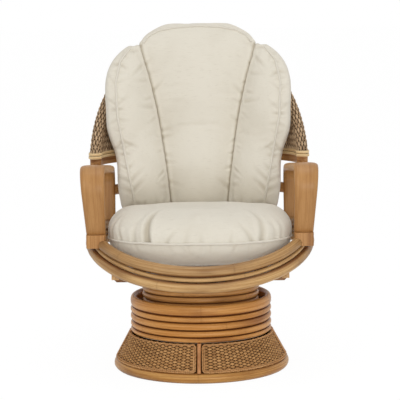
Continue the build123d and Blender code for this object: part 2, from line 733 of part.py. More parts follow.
def shell_band(outer_offset, inner_offset, bottom, height, slant=0.0, start=0.0):
    """Return a curved band that follows the shell's plan between two offsets inwards.

    A slant tips the band back with the shell, and start shifts it there already.
    """
    with BuildPart() as band:
        with BuildSketch(Plane.XY.offset(bottom)):
            with Locations((0, shell_front_y + start)):
                Ellipse(shell_half_width - outer_offset, shell_depth - outer_offset)
                Ellipse(shell_half_width - inner_offset, shell_depth - inner_offset, mode=Mode.SUBTRACT)
            with Locations((0, shell_front_y + start - shell_depth)):
                Rectangle(3 * shell_half_width, 2 * shell_depth, mode=Mode.SUBTRACT)
        climb = Vector(0, slant, 1)
        extrude(amount=height * climb.length, dir=climb)
    return band


back_lower_rail = shell_band(0, shell_thickness, lower_rail_bottom, lower_rail_height)
with BuildPart() as back_lower_rail_round:
    add(back_lower_rail.part)
    uprights = back_lower_rail_round.edges().filter_by(Axis.Z)
    fillet(uprights, radius=shell_thickness / 3)
save(back_lower_rail_round, "back_lower_rail")

arch_height = shell_arch_rise - shell_thickness / 2
points = []
directions = []
for step in range(arch_spans + 1):
    angle = pi * step / arch_spans
    reach = shell_mid_depth + recline_shift * arch_height
    points.append(
        Vector(
            shell_mid_half * cos(angle),
            shell_front_y + reach * sin(angle),
            binding_bottom + arch_height * sin(angle),
        )
    )
    heading = Vector(-shell_mid_half * sin(angle), reach * cos(angle), arch_height * cos(angle))
    directions.append(heading.normalized())


def arch_tube(diameter, bore=0.0, trim=0.0):
    """Return a tube along the shell's arched edge, trimmed level at its two feet."""
    with BuildPart() as tube:
        with BuildLine() as path:
            foot = points[0] - directions[0] * shell_thickness
            Line(foot, points[0])
            add_biarcs(points, directions)
            Line(points[-1], points[-1] + directions[-1] * shell_thickness)
        with BuildSketch(Plane(origin=foot, z_dir=directions[0])):
            Circle(diameter / 2)
            if bore:
                Circle(bore / 2, mode=Mode.SUBTRACT)
        sweep(path=path.wires()[0])
        with BuildSketch(Plane.XY.offset(binding_bottom + trim)):
            Rectangle(4 * shell_half_width, 4 * shell_half_width)
        extrude(amount=-2 * shell_thickness, mode=Mode.SUBTRACT)
    return tube


save(arch_tube(arch_pole, trim=fit_gap), "back_arch_pole")
save(arch_tube(shell_thickness, bore=arch_pole + fit_gap, trim=fit_gap), "back_rim_wrap")
rim_cope = arch_tube(shell_thickness + 4 * fit_gap)

with BuildPart() as arch_window:
    with BuildSketch(Plane.XZ):
        with Locations((0, binding_bottom)):
            Ellipse(shell_mid_half, arch_height)
            with Locations((0, -arch_height / 2)):
                Rectangle(2 * shell_half_width, arch_height, mode=Mode.SUBTRACT)
    extrude(amount=-2 * shell_half_width)

front_skin_offset = shell_thickness - skin_thickness
for outer_offset, name in ((0.0, "back_skin_rear"), (front_skin_offset, "back_skin_front")):
    band = shell_band(
        outer_offset,
        outer_offset + skin_thickness,
        binding_bottom + fit_gap,
        arch_height,
        slant=recline_shift,
        start=fit_gap * recline_shift,
    )
    with BuildPart() as skin:
        add(band.part)
        add(arch_window.part, mode=Mode.INTERSECT)
        add(rim_cope.part, mode=Mode.SUBTRACT)
        pieces = skin.solids().sort_by(SortBy.VOLUME)
        for chip in pieces[:-1]:
            add(chip, mode=Mode.SUBTRACT)
    save(skin, name)

with BuildPart() as back_ribs:
    for offset_x in rib_offsets:
        rib_y = shell_front_y + shell_mid_depth * sqrt(1 - (offset_x / shell_mid_half) ** 2)
        climb = Vector(0, recline_shift, 1)
        foot = Vector(offset_x, rib_y, binding_bottom) - climb * rib_pole
        with BuildSketch(Plane(origin=foot, z_dir=climb)):
            Circle(rib_pole / 2)
        extrude(amount=(arch_height + 2 * rib_pole) * climb.length)
    with BuildSketch(Plane.XY.offset(binding_bottom + fit_gap)):
        Rectangle(4 * shell_half_width, 4 * shell_half_width)
    extrude(amount=-3 * rib_pole, mode=Mode.SUBTRACT)
    add(arch_window.part, mode=Mode.INTERSECT)
    add(rim_cope.part, mode=Mode.SUBTRACT)
save(back_ribs, "back_ribs")

with BuildPart() as back_binding_cane:
    for near_offset in (-binding_proud - fit_gap, shell_thickness + fit_gap):
        add(
            shell_band(
                near_offset,
                near_offset + binding_proud,
                binding_bottom + fit_gap,
                binding_height,
                slant=recline_shift,
            ).part
        )
save(back_binding_cane, "back_binding_cane")

# ---------------------------------------------------------------- cushions

# share of the seat cushion's height, share of its half width and depth there
cushion_levels = ((0.0, 0.80), (0.14, 0.93), (0.42, 1.0), (0.70, 0.95), (0.90, 0.78), (1.0, 0.50))


def seat_pad(grow=0.0):
    """Return the seat cushion's solid, grown all round by a small amount."""
    half_depth = (seat_cushion_rear - seat_cushion_front) / 2
    middle_y = (seat_cushion_rear + seat_cushion_front) / 2
    power = 2 / seat_cushion_squareness
    with BuildPart() as pad:
        for share, spread in cushion_levels:
            height = deck_level + fit_gap + share * seat_cushion_height
            height += grow if share > 0.5 else -grow
            with BuildSketch(seat_plane.offset(height)):
                with BuildLine():
                    corners = []
                    for step in range(17):
                        across = cos(2 * pi * step / 16)
                        along = sin(2 * pi * step / 16)
                        corner_x = (seat_cushion_half_width * spread + grow) * abs(across) ** power
                        corner_y = (half_depth * spread + grow) * abs(along) ** power
                        corners.append((copysign(corner_x, across), middle_y + copysign(corner_y, along)))
                    for step in range(0, 16, 2):
                        ThreePointArc(*corners[step:step + 3])
                make_face()
        loft()
    return pad


save(seat_pad(), "seat_cushion")
seat_pad_room = seat_pad(cushion_gap)


def rest_line(height, x):
    """Y of the back cushion's rear face at a height and a distance from the middle."""
    sagitta = shell_inner_depth * (1 - sqrt(1 - (x / shell_inner_half) ** 2))
    lean = recline_shift * (height - binding_bottom)
    on_shell = shell_front_y + shell_inner_depth - back_cushion_ease + lean - sagitta
    rail_face = rail_radius - mid_rail_pole / 2 - back_cushion_ease
    on_rail = min(on_shell, rail_centre_y + sqrt(rail_face**2 - x**2))
    rail_crest = mid_rail_height + mid_rail_pole
    above = min(max((height - rail_crest) / back_rest_blend, 0), 1)
    return on_rail + above * (on_shell - on_rail)


# share of the cushion's height, half width as a share of the shell's, share of the full depth
centre_sections = (
    (0.000, 0.297, 0.62), (0.075, 0.313, 0.86), (0.155, 0.332, 0.97),
    (0.239, 0.352, 1.00), (0.396, 0.394, 1.00), (0.561, 0.458, 1.00),
    (0.700, 0.519, 0.95), (0.816, 0.581, 0.85), (0.896, 0.606, 0.72),
    (0.946, 0.535, 0.60), (0.979, 0.426, 0.46), (1.000, 0.297, 0.32),
)


def centre_panel(grow=0.0):
    """Return the back cushion's middle panel, its sides grown by a small amount."""
    with BuildPart() as panel:
        for height_share, half_share, fullness in centre_sections:
            height = back_cushion_bottom + height_share * (back_cushion_top - back_cushion_bottom)
            half = half_share * shell_inner_half + grow
            with BuildSketch(Plane.XY.offset(height)):
                with BuildLine():
                    side_back = rest_line(height, half) + grow
                    side_front = side_back - back_cushion_seam * fullness - 2 * grow
                    crown = rest_line(height, 0) - back_cushion_crown * fullness - grow
                    ThreePointArc((-half, side_back), (0, rest_line(height, 0) + grow), (half, side_back))
                    Line((half, side_back), (half, side_front))
                    ThreePointArc((half, side_front), (0, crown), (-half, side_front))
                    Line((-half, side_front), (-half, side_back))
                make_face()
        loft()
    return panel


centre_room = centre_panel(cushion_gap)
with BuildPart() as back_cushion_centre:
    add(centre_panel().part)
    add(seat_pad_room.part, mode=Mode.SUBTRACT)
save(back_cushion_centre, "back_cushion_centre")

# share of the height, inner and outer edges as shares of the shell's half, share of the full depth
wing_sections = (
    (0.000, 0.297, 0.819, 0.62), (0.075, 0.313, 0.839, 0.86), (0.155, 0.332, 0.852, 0.97),
    (0.239, 0.352, 0.858, 1.00), (0.361, 0.384, 0.926, 1.00), (0.504, 0.432, 0.961, 1.00),
    (0.629, 0.484, 0.974, 1.00), (0.718, 0.529, 0.961, 0.95), (0.789, 0.568, 0.913, 0.85),
    (0.843, 0.594, 0.832, 0.70), (0.882, 0.606, 0.735, 0.50),
)
for side, name in ((-1, "back_cushion_wing_left"), (1, "back_cushion_wing_right")):
    with BuildPart() as wing:
        for height_share, inner_share, outer_share, fullness in wing_sections:
            height = back_cushion_bottom + height_share * (back_cushion_top - back_cushion_bottom)
            inner = inner_share * shell_inner_half
            outer = outer_share * shell_inner_half
            with BuildSketch(Plane.XY.offset(height)):
                with BuildLine():
                    near = inner - wing_overlap
                    far = outer - wing_round
                    middle = (near + far) / 2
                    far_back = rest_line(height, far)
                    near_back = rest_line(height, near)
                    far_front = far_back - wing_side * fullness
                    near_front = near_back - back_cushion_seam * fullness
                    crown = (far_front + near_front) / 2 - wing_crown * fullness
                    ThreePointArc(
                        (side * near, near_back),
                        (side * middle, rest_line(height, middle)),
                        (side * far, far_back),
                    )
                    ThreePointArc(
                        (side * far, far_back),
                        (side * outer, (far_back + far_front) / 2),
                        (side * far, far_front),
                    )
                    ThreePointArc((side * far, far_front), (side * middle, crown), (side * near, near_front))
                    Line((side * near, near_front), (side * near, near_back))
                make_face()
        loft()
        add(centre_room.part, mode=Mode.SUBTRACT)
        add(seat_pad_room.part, mode=Mode.SUBTRACT)
        pieces = wing.solids().sort_by(SortBy.VOLUME)
        for chip in pieces[:-1]:
            add(chip, mode=Mode.SUBTRACT)
    save(wing, name)
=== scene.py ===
"""Dress the swivel rocker: woven cane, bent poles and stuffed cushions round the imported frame.

Metres, +Z up, front towards -Y, in the frame's own axes.  Each sub-assembly is a class whose
fields are its sizes and whose methods build its pieces.  Strands, poles and piping all come
from one grid that is copied by an array, rolled up and laid on its surface.
"""

import json
import logging
import math
from dataclasses import dataclass, field, replace
from enum import Enum
from functools import cache
from typing import Any, Callable

import bpy
import numpy as np
from mathutils import Matrix, Vector
from mathutils.bvhtree import BVHTree

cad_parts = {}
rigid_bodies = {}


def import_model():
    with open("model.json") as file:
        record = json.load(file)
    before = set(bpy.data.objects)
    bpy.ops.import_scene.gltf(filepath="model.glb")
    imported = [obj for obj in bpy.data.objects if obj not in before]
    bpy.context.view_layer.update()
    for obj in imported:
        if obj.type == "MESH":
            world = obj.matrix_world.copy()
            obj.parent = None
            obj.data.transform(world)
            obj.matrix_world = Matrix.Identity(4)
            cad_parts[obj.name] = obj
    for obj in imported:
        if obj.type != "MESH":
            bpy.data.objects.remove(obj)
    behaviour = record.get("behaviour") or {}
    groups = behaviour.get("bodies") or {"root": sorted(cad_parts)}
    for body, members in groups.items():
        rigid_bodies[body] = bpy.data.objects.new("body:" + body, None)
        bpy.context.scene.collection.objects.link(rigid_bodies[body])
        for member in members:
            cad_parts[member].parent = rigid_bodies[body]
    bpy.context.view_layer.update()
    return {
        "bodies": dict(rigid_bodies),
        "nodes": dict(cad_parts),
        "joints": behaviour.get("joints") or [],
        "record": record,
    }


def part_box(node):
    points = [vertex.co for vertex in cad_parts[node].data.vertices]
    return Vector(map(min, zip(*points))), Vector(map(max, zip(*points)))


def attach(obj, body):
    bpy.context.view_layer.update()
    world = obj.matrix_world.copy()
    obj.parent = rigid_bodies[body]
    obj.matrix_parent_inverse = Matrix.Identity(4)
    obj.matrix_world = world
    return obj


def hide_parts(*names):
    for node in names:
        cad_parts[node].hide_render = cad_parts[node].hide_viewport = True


Array = np.ndarray
Colour = tuple[float, float, float]
Place = Callable[[Array], Array]
Level = Callable[[Array, Array], Array]
Node = bpy.types.Node
Socket = bpy.types.NodeSocket

LOG = logging.getLogger("swivel_rocker")
TURN = 2 * math.pi
STRAND_WIDTH = 0.0023  # mean half width of a woven strand
FIBRE_STEP = 3.71  # shifts the grain from one strand to the next
RAIL_RADIUS = 0.3  # turns an angle round the back's rails into a length


def tone(red: int, green: int, blue: int) -> Colour:
    """Turn an 8-bit screen colour into a linear one.

    Args:
        red: Red, 0 to 255.
        green: Green, 0 to 255.
        blue: Blue, 0 to 255.

    Returns:
        The linear colour that a shader socket takes.
    """
    shares = (red / 255, green / 255, blue / 255)
    return tuple(s / 12.92 if s <= 0.04045 else ((s + 0.055) / 1.055) ** 2.4 for s in shares)


def unit(vectors: Array) -> Array:
    """Scale the vectors on an array's last axis to length one."""
    return vectors / np.maximum(np.linalg.norm(vectors, axis=-1, keepdims=True), 1e-12)


def smooth_step(low: float, high: float, value: Array) -> Array:
    """Rise softly from 0 at low to 1 at high."""
    share = np.clip((value - low) / (high - low), 0, 1)
    return share * share * (3 - 2 * share)


def squared(turn: Array, squareness: float) -> Array:
    """Square off a cosine or sine: 2 leaves its circle round, more makes it squarer."""
    return np.sign(turn) * np.abs(turn) ** (2 / squareness)


def bell(value: Array, width: float) -> Array:
    """Fall from 1 at 0 along a bell curve."""
    return np.exp(-((value / width) ** 2))


def wander(values: Array, pitch: float, seed: float) -> Array:
    """Give a smooth, repeatable wobble between about -1 and 1 along some values."""
    phase = TURN * values / pitch
    slow, middle = np.sin(phase + seed), np.sin(2.31 * phase + 1.7 * seed)
    return 0.5 * slow + 0.3 * middle + 0.2 * np.sin(4.73 * phase + 2.9 * seed)


def select_only(*pieces: bpy.types.Object) -> None:
    """Deselect everything, then select these pieces, the first of them active."""
    bpy.ops.object.select_all(action="DESELECT")
    for piece in pieces:
        piece.select_set(True)
    if pieces:
        bpy.context.view_layer.objects.active = pieces[0]


def in_edit_mode(piece: bpy.types.Object, action: Callable[[], Any]) -> None:
    """Run an edit operator on the whole of a piece's mesh."""
    select_only(piece)
    bpy.ops.object.mode_set(mode="EDIT")
    bpy.ops.mesh.select_all(action="SELECT")
    action()
    bpy.ops.object.mode_set(mode="OBJECT")


def apply_modifier(piece: bpy.types.Object, kind: str, **settings: Any) -> None:
    """Add a modifier, set it and apply it.

    Args:
        piece: The object that gets it.
        kind: The modifier's type name.
        settings: Its properties.
    """
    modifier = piece.modifiers.new(kind.title(), kind)
    for name, value in settings.items():
        setattr(modifier, name, value)
    select_only(piece)
    bpy.ops.object.modifier_apply(modifier=modifier.name)


def read_points(piece: bpy.types.Object) -> Array:
    """Return a piece's vertices as rows of three numbers."""
    points = np.empty(len(piece.data.vertices) * 3)
    piece.data.vertices.foreach_get("co", points)
    return points.reshape(-1, 3)


def write_points(piece: bpy.types.Object, points: Array) -> None:
    """Move a piece's vertices to these rows."""
    piece.data.vertices.foreach_set("co", np.ascontiguousarray(points, dtype=float).ravel())
    piece.data.update()


def read_normals(piece: bpy.types.Object) -> Array:
    """Return the normals at a piece's vertices."""
    normals = np.empty(len(piece.data.vertices) * 3, np.float32)
    piece.data.vertex_normals.foreach_get("vector", normals)
    return normals.reshape(-1, 3).astype(float)


def write_attribute(piece: bpy.types.Object, name: str, values: Array) -> None:
    """Keep numbers or vectors on a piece's vertices for its material to read."""
    kind, key = ("FLOAT_VECTOR", "vector") if values.ndim == 2 else ("FLOAT", "value")
    attribute = piece.data.attributes.get(name) or piece.data.attributes.new(name, kind, "POINT")
    attribute.data.foreach_set(key, np.ascontiguousarray(values, dtype=np.float32).ravel())


# ---------------------------------------------------------------- strands


@dataclass
class Strands:
    """A family of strands with the same number of steps, laid flat or in space.

    Attributes:
        name: The object's name.
        lines: Centrelines, as count by steps by three.
        across: Half width, a number or one for each step.
        through: Half thickness, the same way.
        sides: Faces round a strand.
        closed: True if the lines end where they start.
        flat_ends: True if the ends are cut square and not drawn to a point.
        up: The direction of the thickness along the lines; +Z if there is none.
        squareness: 2 for a round section, more for a squarer one.
        place: Wraps flat coordinates on to a surface.
        deep: Flat height that counts as deepest, where the painted shade is strongest.
        proud: Flat height that counts as proudest, where there is no painted shade.
        top_bottom_shade: Painted shade on the section's top and bottom lines, for stacked poles.
        start: Where its fibres start, so that like pieces differ.
    """

    name: str
    lines: Array
    across: float | Array
    through: float | Array
    sides: int = 6
    closed: bool = False
    flat_ends: bool = False
    up: Array | None = None
    squareness: float = 2.0
    place: Place | None = None
    deep: float = 0.0
    proud: float = 0.0
    top_bottom_shade: tuple[float, float] = (0.0, 0.0)
    start: float = 0.0

    def frames(self) -> tuple[Array, Array]:
        """Return the sideways and outward directions at each step of each line."""
        if self.closed:
            ring = self.lines[:, :-1]
            ahead = np.roll(ring, -1, axis=1) - np.roll(ring, 1, axis=1)
            ahead = np.concatenate([ahead, ahead[:, :1]], axis=1)
        else:
            ahead = np.gradient(self.lines, axis=1)
        ahead = unit(ahead)
        up = np.broadcast_to(np.array([0.0, 0.0, 1.0]) if self.up is None else self.up, ahead.shape)
        sideways = unit(np.cross(up, ahead))
        return sideways, np.cross(ahead, sideways)

    def stacked_grid(self) -> bpy.types.Object:
        """Make one flat grid for each line, one above the other."""
        count, steps, _ = self.lines.shape
        select_only()
        bpy.ops.mesh.primitive_grid_add(
            x_subdivisions=steps - 1, y_subdivisions=self.sides, size=2.0
        )
        piece = bpy.context.active_object
        piece.name = self.name
        piece.data.name = self.name
        if count > 1:
            apply_modifier(
                piece,
                "ARRAY",
                count=count,
                use_relative_offset=False,
                use_constant_offset=True,
                constant_offset_displace=(0, 0, 1),
            )
        return piece

    def depths(self, height: Array, sine: Array) -> Array:
        """Return the painted shade at each vertex, 0 to 1, deep in a weave or where poles touch.

        Args:
            height: Flat heights.
            sine: 1 at the top of a section and -1 at its bottom.

        Returns:
            The painted shade that the finish mixes in.
        """
        if self.proud != self.deep:
            return np.clip((self.proud - height) / (self.proud - self.deep), 0, 1)
        # Painted shade on a pole: on its upper side and, more broadly, on its lower side.
        above = self.top_bottom_shade[0] * smooth_step(0.45, 1.0, sine)
        return np.maximum(above, self.top_bottom_shade[1] * smooth_step(0.25, 1.0, -sine))

    def build(self) -> bpy.types.Object:
        """Roll the grid's copies into strands.

        Returns:
            One mesh object with every strand, its seams and ends closed.
        """
        piece = self.stacked_grid()
        grid = read_points(piece)
        count, steps, _ = self.lines.shape
        column = np.rint((grid[:, 0] + 1) / 2 * (steps - 1)).astype(int)
        spot = np.rint(grid[:, 2]).astype(int), column
        angle = (grid[:, 1] + 1) * math.pi
        across, through = (
            np.broadcast_to(size, (count, steps))[spot] * squared(turn, self.squareness)
            for size, turn in ((self.across, np.cos(angle)), (self.through, np.sin(angle)))
        )
        if not self.closed:
            ends = (column == 0) | (column == steps - 1)
            across, through = np.where(ends, 0, across), np.where(ends, 0, through)
        centres = self.lines.copy()
        if self.flat_ends:
            centres[:, 0] = centres[:, 1]
            centres[:, -1] = centres[:, -2]
        sideways, outward = (direction[spot] for direction in self.frames())
        points = centres[spot] + across[:, None] * sideways + through[:, None] * outward
        stretch = np.linalg.norm(np.diff(self.lines, axis=1), axis=2)
        travelled = np.concatenate([np.zeros((count, 1)), np.cumsum(stretch, axis=1)], axis=1)
        along = travelled[spot] + FIBRE_STEP * spot[0] + self.start
        write_attribute(piece, "fibre", np.stack([along, across, through], axis=1))
        # The depth attribute carries the painted shade for the finish.
        write_attribute(piece, "depth", self.depths(points[:, 2], np.sin(angle)))
        write_points(piece, self.place(points) if self.place else points)
        in_edit_mode(piece, lambda: bpy.ops.mesh.remove_doubles(threshold=1e-6))
        in_edit_mode(piece, lambda: bpy.ops.mesh.normals_make_consistent(inside=False))
        select_only(piece)
        bpy.ops.object.shade_smooth_by_angle(angle=math.radians(50))
        return piece

    def lay(self, finish: "Finish", body: str, slot: str, *nodes: str) -> None:
        """Build the strands and dress them, with dress's own arguments."""
        dress(self.build(), finish, body, slot, *nodes)


def travel(points: Array) -> Array:
    """Return the distance along a polyline to each of its points."""
    return np.concatenate([[0], np.cumsum(np.linalg.norm(np.diff(points, axis=0), axis=1))])


def look_up(wanted: Array, known: Array, rows: Array) -> Array:
    """Interpolate rows of numbers between the values for which they are known."""
    return np.stack([np.interp(wanted, known, column) for column in rows.T], axis=1)


def resample(points: Array, steps: int, closed: bool = False) -> Array:
    """Space points evenly along a polyline.

    Args:
        points: The polyline's corners, one a row.
        steps: How many points to return.
        closed: True to come back to the first point.

    Returns:
        The evenly spaced points.
    """
    if closed:
        points = np.concatenate([points, points[:1]])
    reach = travel(points)
    return look_up(np.linspace(0, reach[-1], steps), reach, points)


def rounded_corners(points: Array, radii: list[float], spans: int = 12) -> Array:
    """Round the inner corners of an open polyline.

    Args:
        points: Its corners.
        radii: One radius for each inner corner.
        spans: Steps round each arc.

    Returns:
        The polyline with arcs in place of its inner corners.
    """
    out = [points[0]]
    for before, corner, after, radius in zip(points, points[1:], points[2:], radii):
        back, ahead = unit(before - corner), unit(after - corner)
        half = math.acos(float(np.clip(back @ ahead, -1, 1))) / 2
        start = corner + back * radius / math.tan(half)
        end = corner + ahead * radius / math.tan(half)
        centre = corner + unit(back + ahead) * radius / math.sin(half)
        for step in range(spans + 1):
            spot = start + (end - start) * step / spans - centre
            out.append(centre + unit(spot) * radius)
    out.append(points[-1])
    return np.array(out)


def twisted(path: Array, radius: float, pitch: float, strands: int = 2) -> Array:
    """Wind strands round a flat path.

    Args:
        path: Evenly spaced points, as steps by three.
        radius: Distance of each strand from the path.
        pitch: Length of one turn.
        strands: How many.

    Returns:
        The strands' centrelines.
    """
    ahead = unit(np.gradient(path, axis=0))
    sideways = unit(np.cross([0.0, 0.0, 1.0], ahead))
    travelled = travel(path)
    turns = max(1, round(travelled[-1] / pitch))
    phase = TURN * turns * travelled / travelled[-1]
    lines = []
    for strand in range(strands):
        turn = phase + TURN * strand / strands
        lift = np.stack([np.zeros_like(turn), np.zeros_like(turn), np.sin(turn)], axis=1)
        lines.append(path + radius * (np.cos(turn)[:, None] * sideways + lift))
    return np.array(lines)


def lay_shade_backing(
    name: str, body: str, ends: tuple[float, float], height: Place, level: float, place: Place
) -> None:
    """Lay a thin dark sheet behind a weave: painted shade seen through its gaps.

    Args:
        name: The object's name.
        body: The body that carries it.
        ends: Flat X at which it starts and ends.
        height: Its height at each flat X.
        level: Its flat Z.
        place: Wraps flat coordinates on to a surface.
    """

    def stretched(flat: Array) -> Array:
        """Stretch a strip of height one to the sheet's height, then wrap it."""
        return place(np.stack([flat[:, 0], flat[:, 1] * height(flat[:, 0]), flat[:, 2]], axis=1))

    start, end = ends
    spots = np.concatenate([[start - 1e-4], np.linspace(start, end, 160), [end + 1e-4]])
    line = np.stack([spots, np.full(spots.shape, 0.5), np.full(spots.shape, level)], axis=1)
    Strands(
        name,
        line[None],
        across=0.5,
        through=0.0003,
        sides=16,
        flat_ends=True,
        squareness=9.0,
        place=stretched,
        deep=level - 1,
    ).lay(SHADE_BACKING, body, "woven_cane")


# ---------------------------------------------------------------- finishes


class Graph:
    """Adds nodes to a shader tree and links them."""

    def __init__(self, tree: bpy.types.NodeTree) -> None:
        """Keep the tree and empty it."""
        self.tree = tree
        tree.nodes.clear()

    def add(self, kind: str, inputs: dict[Any, Any] | None = None, **settings: Any) -> Node:
        """Add one node.

        Args:
            kind: The node's type name.
            inputs: Socket name or number to a value or to another node's output.
            settings: Properties of the node.

        Returns:
            The node.
        """
        node = self.tree.nodes.new(kind)
        for name, value in settings.items():
            setattr(node, name, value)
        for name, value in (inputs or {}).items():
            if isinstance(value, Socket):
                self.tree.links.new(value, node.inputs[name])
            else:
                node.inputs[name].default_value = value
        return node

    def math(self, operation: str, *values: Any) -> Socket:
        """Do one sum on numbers or sockets."""
        return self.add("ShaderNodeMath", dict(enumerate(values)), operation=operation).outputs[0]

    def attribute(self, name: str, output: str = "Fac") -> Socket:
        """Read what write_attribute kept on the vertices."""
        return self.add("ShaderNodeAttribute", attribute_name=name).outputs[output]

    def place(self) -> Socket:
        """Return the shaded point in the object's own coordinates."""
        return self.add("ShaderNodeTexCoord").outputs["Object"]

    def parts(self, vector: Socket) -> Any:
        """Return a vector's three numbers."""
        return self.add("ShaderNodeSeparateXYZ", {0: vector}).outputs

    def noise(self, vector: Any, scale: Any, detail: float) -> Socket:
        """Return soft noise between 0 and 1.

        Args:
            vector: Where it is read.
            scale: How fine it is, one number or one for each axis.
            detail: How many finer layers it has.

        Returns:
            The noise.
        """
        if isinstance(scale, tuple):
            stretch = {0: vector, 1: scale}
            vector = self.add("ShaderNodeVectorMath", stretch, operation="MULTIPLY").outputs[0]
            scale = 1.0
        inputs = {"Vector": vector, "Scale": scale, "Detail": detail}
        return self.add("ShaderNodeTexNoise", inputs).outputs["Fac"]

    def ramp(self, value: Any, low: float, high: float, top: float = 1.0) -> Socket:
        """Rise softly from 0 at low to top at high."""
        inputs = {"Value": value, "From Min": low, "From Max": high, "To Max": top}
        return self.add("ShaderNodeMapRange", inputs, interpolation_type="SMOOTHSTEP").outputs[0]

    def mix(self, share: Any, first: Any, second: Any) -> Socket:
        """Mix two colours by a share."""
        node = self.add("ShaderNodeMix", data_type="RGBA")
        for key, value in ((0, share), (6, first), (7, second)):
            if isinstance(value, Socket):
                self.tree.links.new(value, node.inputs[key])
            else:
                node.inputs[key].default_value = (*value, 1.0) if key else value
        return node.outputs[2]

    def bump(self, height: Socket, distance: float, strength: float) -> Socket:
        """Return the normal of a surface with this relief."""
        inputs = {"Height": height, "Distance": distance, "Strength": strength}
        return self.add("ShaderNodeBump", inputs).outputs[0]

    def seen(self) -> Socket:
        """Return 1 where the camera or a glossy reflection looks, 0 for the light's own rays."""
        rays = self.add("ShaderNodeLightPath").outputs
        return self.math("MAXIMUM", rays["Is Camera Ray"], rays["Is Glossy Ray"])

    def deliver(self, end: Node, **values: Socket) -> bpy.types.NodeTree:
        """Link a group's results to its output node and return the group."""
        for name, value in values.items():
            self.tree.links.new(value, end.inputs[name])
        return self.tree


def new_group(
    name: str, numbers: tuple[str, ...], outputs: tuple[str, ...]
) -> tuple[Graph, Any, Node]:
    """Start a shader node group that reads a vector.

    Args:
        name: The group's name.
        numbers: The names of its other inputs.
        outputs: The names of its outputs, all numbers.

    Returns:
        The group's graph, what it is given and its output node.
    """
    group = bpy.data.node_groups.new(name, "ShaderNodeTree")
    sockets = [("Vector", "INPUT", "NodeSocketVector")]
    sockets += [(label, "INPUT", "NodeSocketFloat") for label in numbers]
    sockets += [(label, "OUTPUT", "NodeSocketFloat") for label in outputs]
    for label, side, kind in sockets:
        group.interface.new_socket(name=label, in_out=side, socket_type=kind)
    graph = Graph(group)
    return graph, graph.add("NodeGroupInput").outputs, graph.add("NodeGroupOutput")


@cache
def cane_grain_group() -> bpy.types.NodeTree:
    """Build the group that gives long fibres, blotches and specks of cane or timber.

    Returns:
        A group with outputs Streak, Blotch, Speck and Height, read along the vector's X.
    """
    graph, given, end = new_group(
        "cane_grain", ("Along", "Across"), ("Streak", "Blotch", "Speck", "Height")
    )
    scale = {0: given["Along"], 1: given["Across"], 2: given["Across"]}
    stretch = graph.add("ShaderNodeCombineXYZ", scale).outputs[0]
    stretched = {0: given["Vector"], 1: stretch}
    fibres = graph.add("ShaderNodeVectorMath", stretched, operation="MULTIPLY").outputs[0]
    streak = graph.noise(fibres, 1.0, 4.0)
    blotch = graph.noise(given["Vector"], (5.0, 28.0, 28.0), 2.0)
    speck = graph.noise(given["Vector"], (90.0, 700.0, 700.0), 1.0)
    height = graph.math("ADD", streak, graph.math("MULTIPLY", speck, 0.3))
    return graph.deliver(end, Streak=streak, Blotch=blotch, Speck=speck, Height=height)


@cache
def cloth_weave_group() -> bpy.types.NodeTree:
    """Build the group for a plain woven cloth, read from object coordinates.

    Returns:
        A group with outputs Thread, Slub and Height.
    """
    graph, given, end = new_group("cloth_weave", ("Pitch",), ("Thread", "Slub", "Height"))
    turns = graph.math("DIVIDE", TURN, given["Pitch"])
    parts = graph.parts(given["Vector"])
    waves = [graph.math("SINE", graph.math("MULTIPLY", parts[k], turns)) for k in range(3)]
    thread = graph.math("MULTIPLY", waves[0], graph.math("ADD", waves[1], waves[2]))
    thread = graph.ramp(thread, -1.2, 1.2)
    slub = graph.noise(given["Vector"], (40.0, 160.0, 320.0), 3.0)
    height = graph.math("ADD", thread, slub)
    return graph.deliver(end, Thread=thread, Slub=slub, Height=height)


class Fibres(Enum):
    """Where the fibres run: the vertices' own attribute, an order of axes or round Z."""

    STRAND = "fibre"
    ALONG_X = (0, 1, 2)
    ALONG_Y = (1, 0, 2)
    ALONG_Z = (2, 0, 1)
    ROUND = "ring"


@dataclass(frozen=True)
class Finish:
    """A procedural material, built once under its own name.

    Attributes:
        name: The material's name.
    """

    name: str

    def shader(self, graph: Graph) -> Node:
        """Add this finish's nodes and return its surface shader."""
        raise NotImplementedError

    def material(self) -> bpy.types.Material:
        """Build the material, or return it if it exists."""
        found = bpy.data.materials.get(self.name)
        if found:
            return found
        material = bpy.data.materials.new(self.name)
        material.use_nodes = True
        graph = Graph(material.node_tree)
        graph.add("ShaderNodeOutputMaterial", {"Surface": self.shader(graph).outputs[0]})
        return material


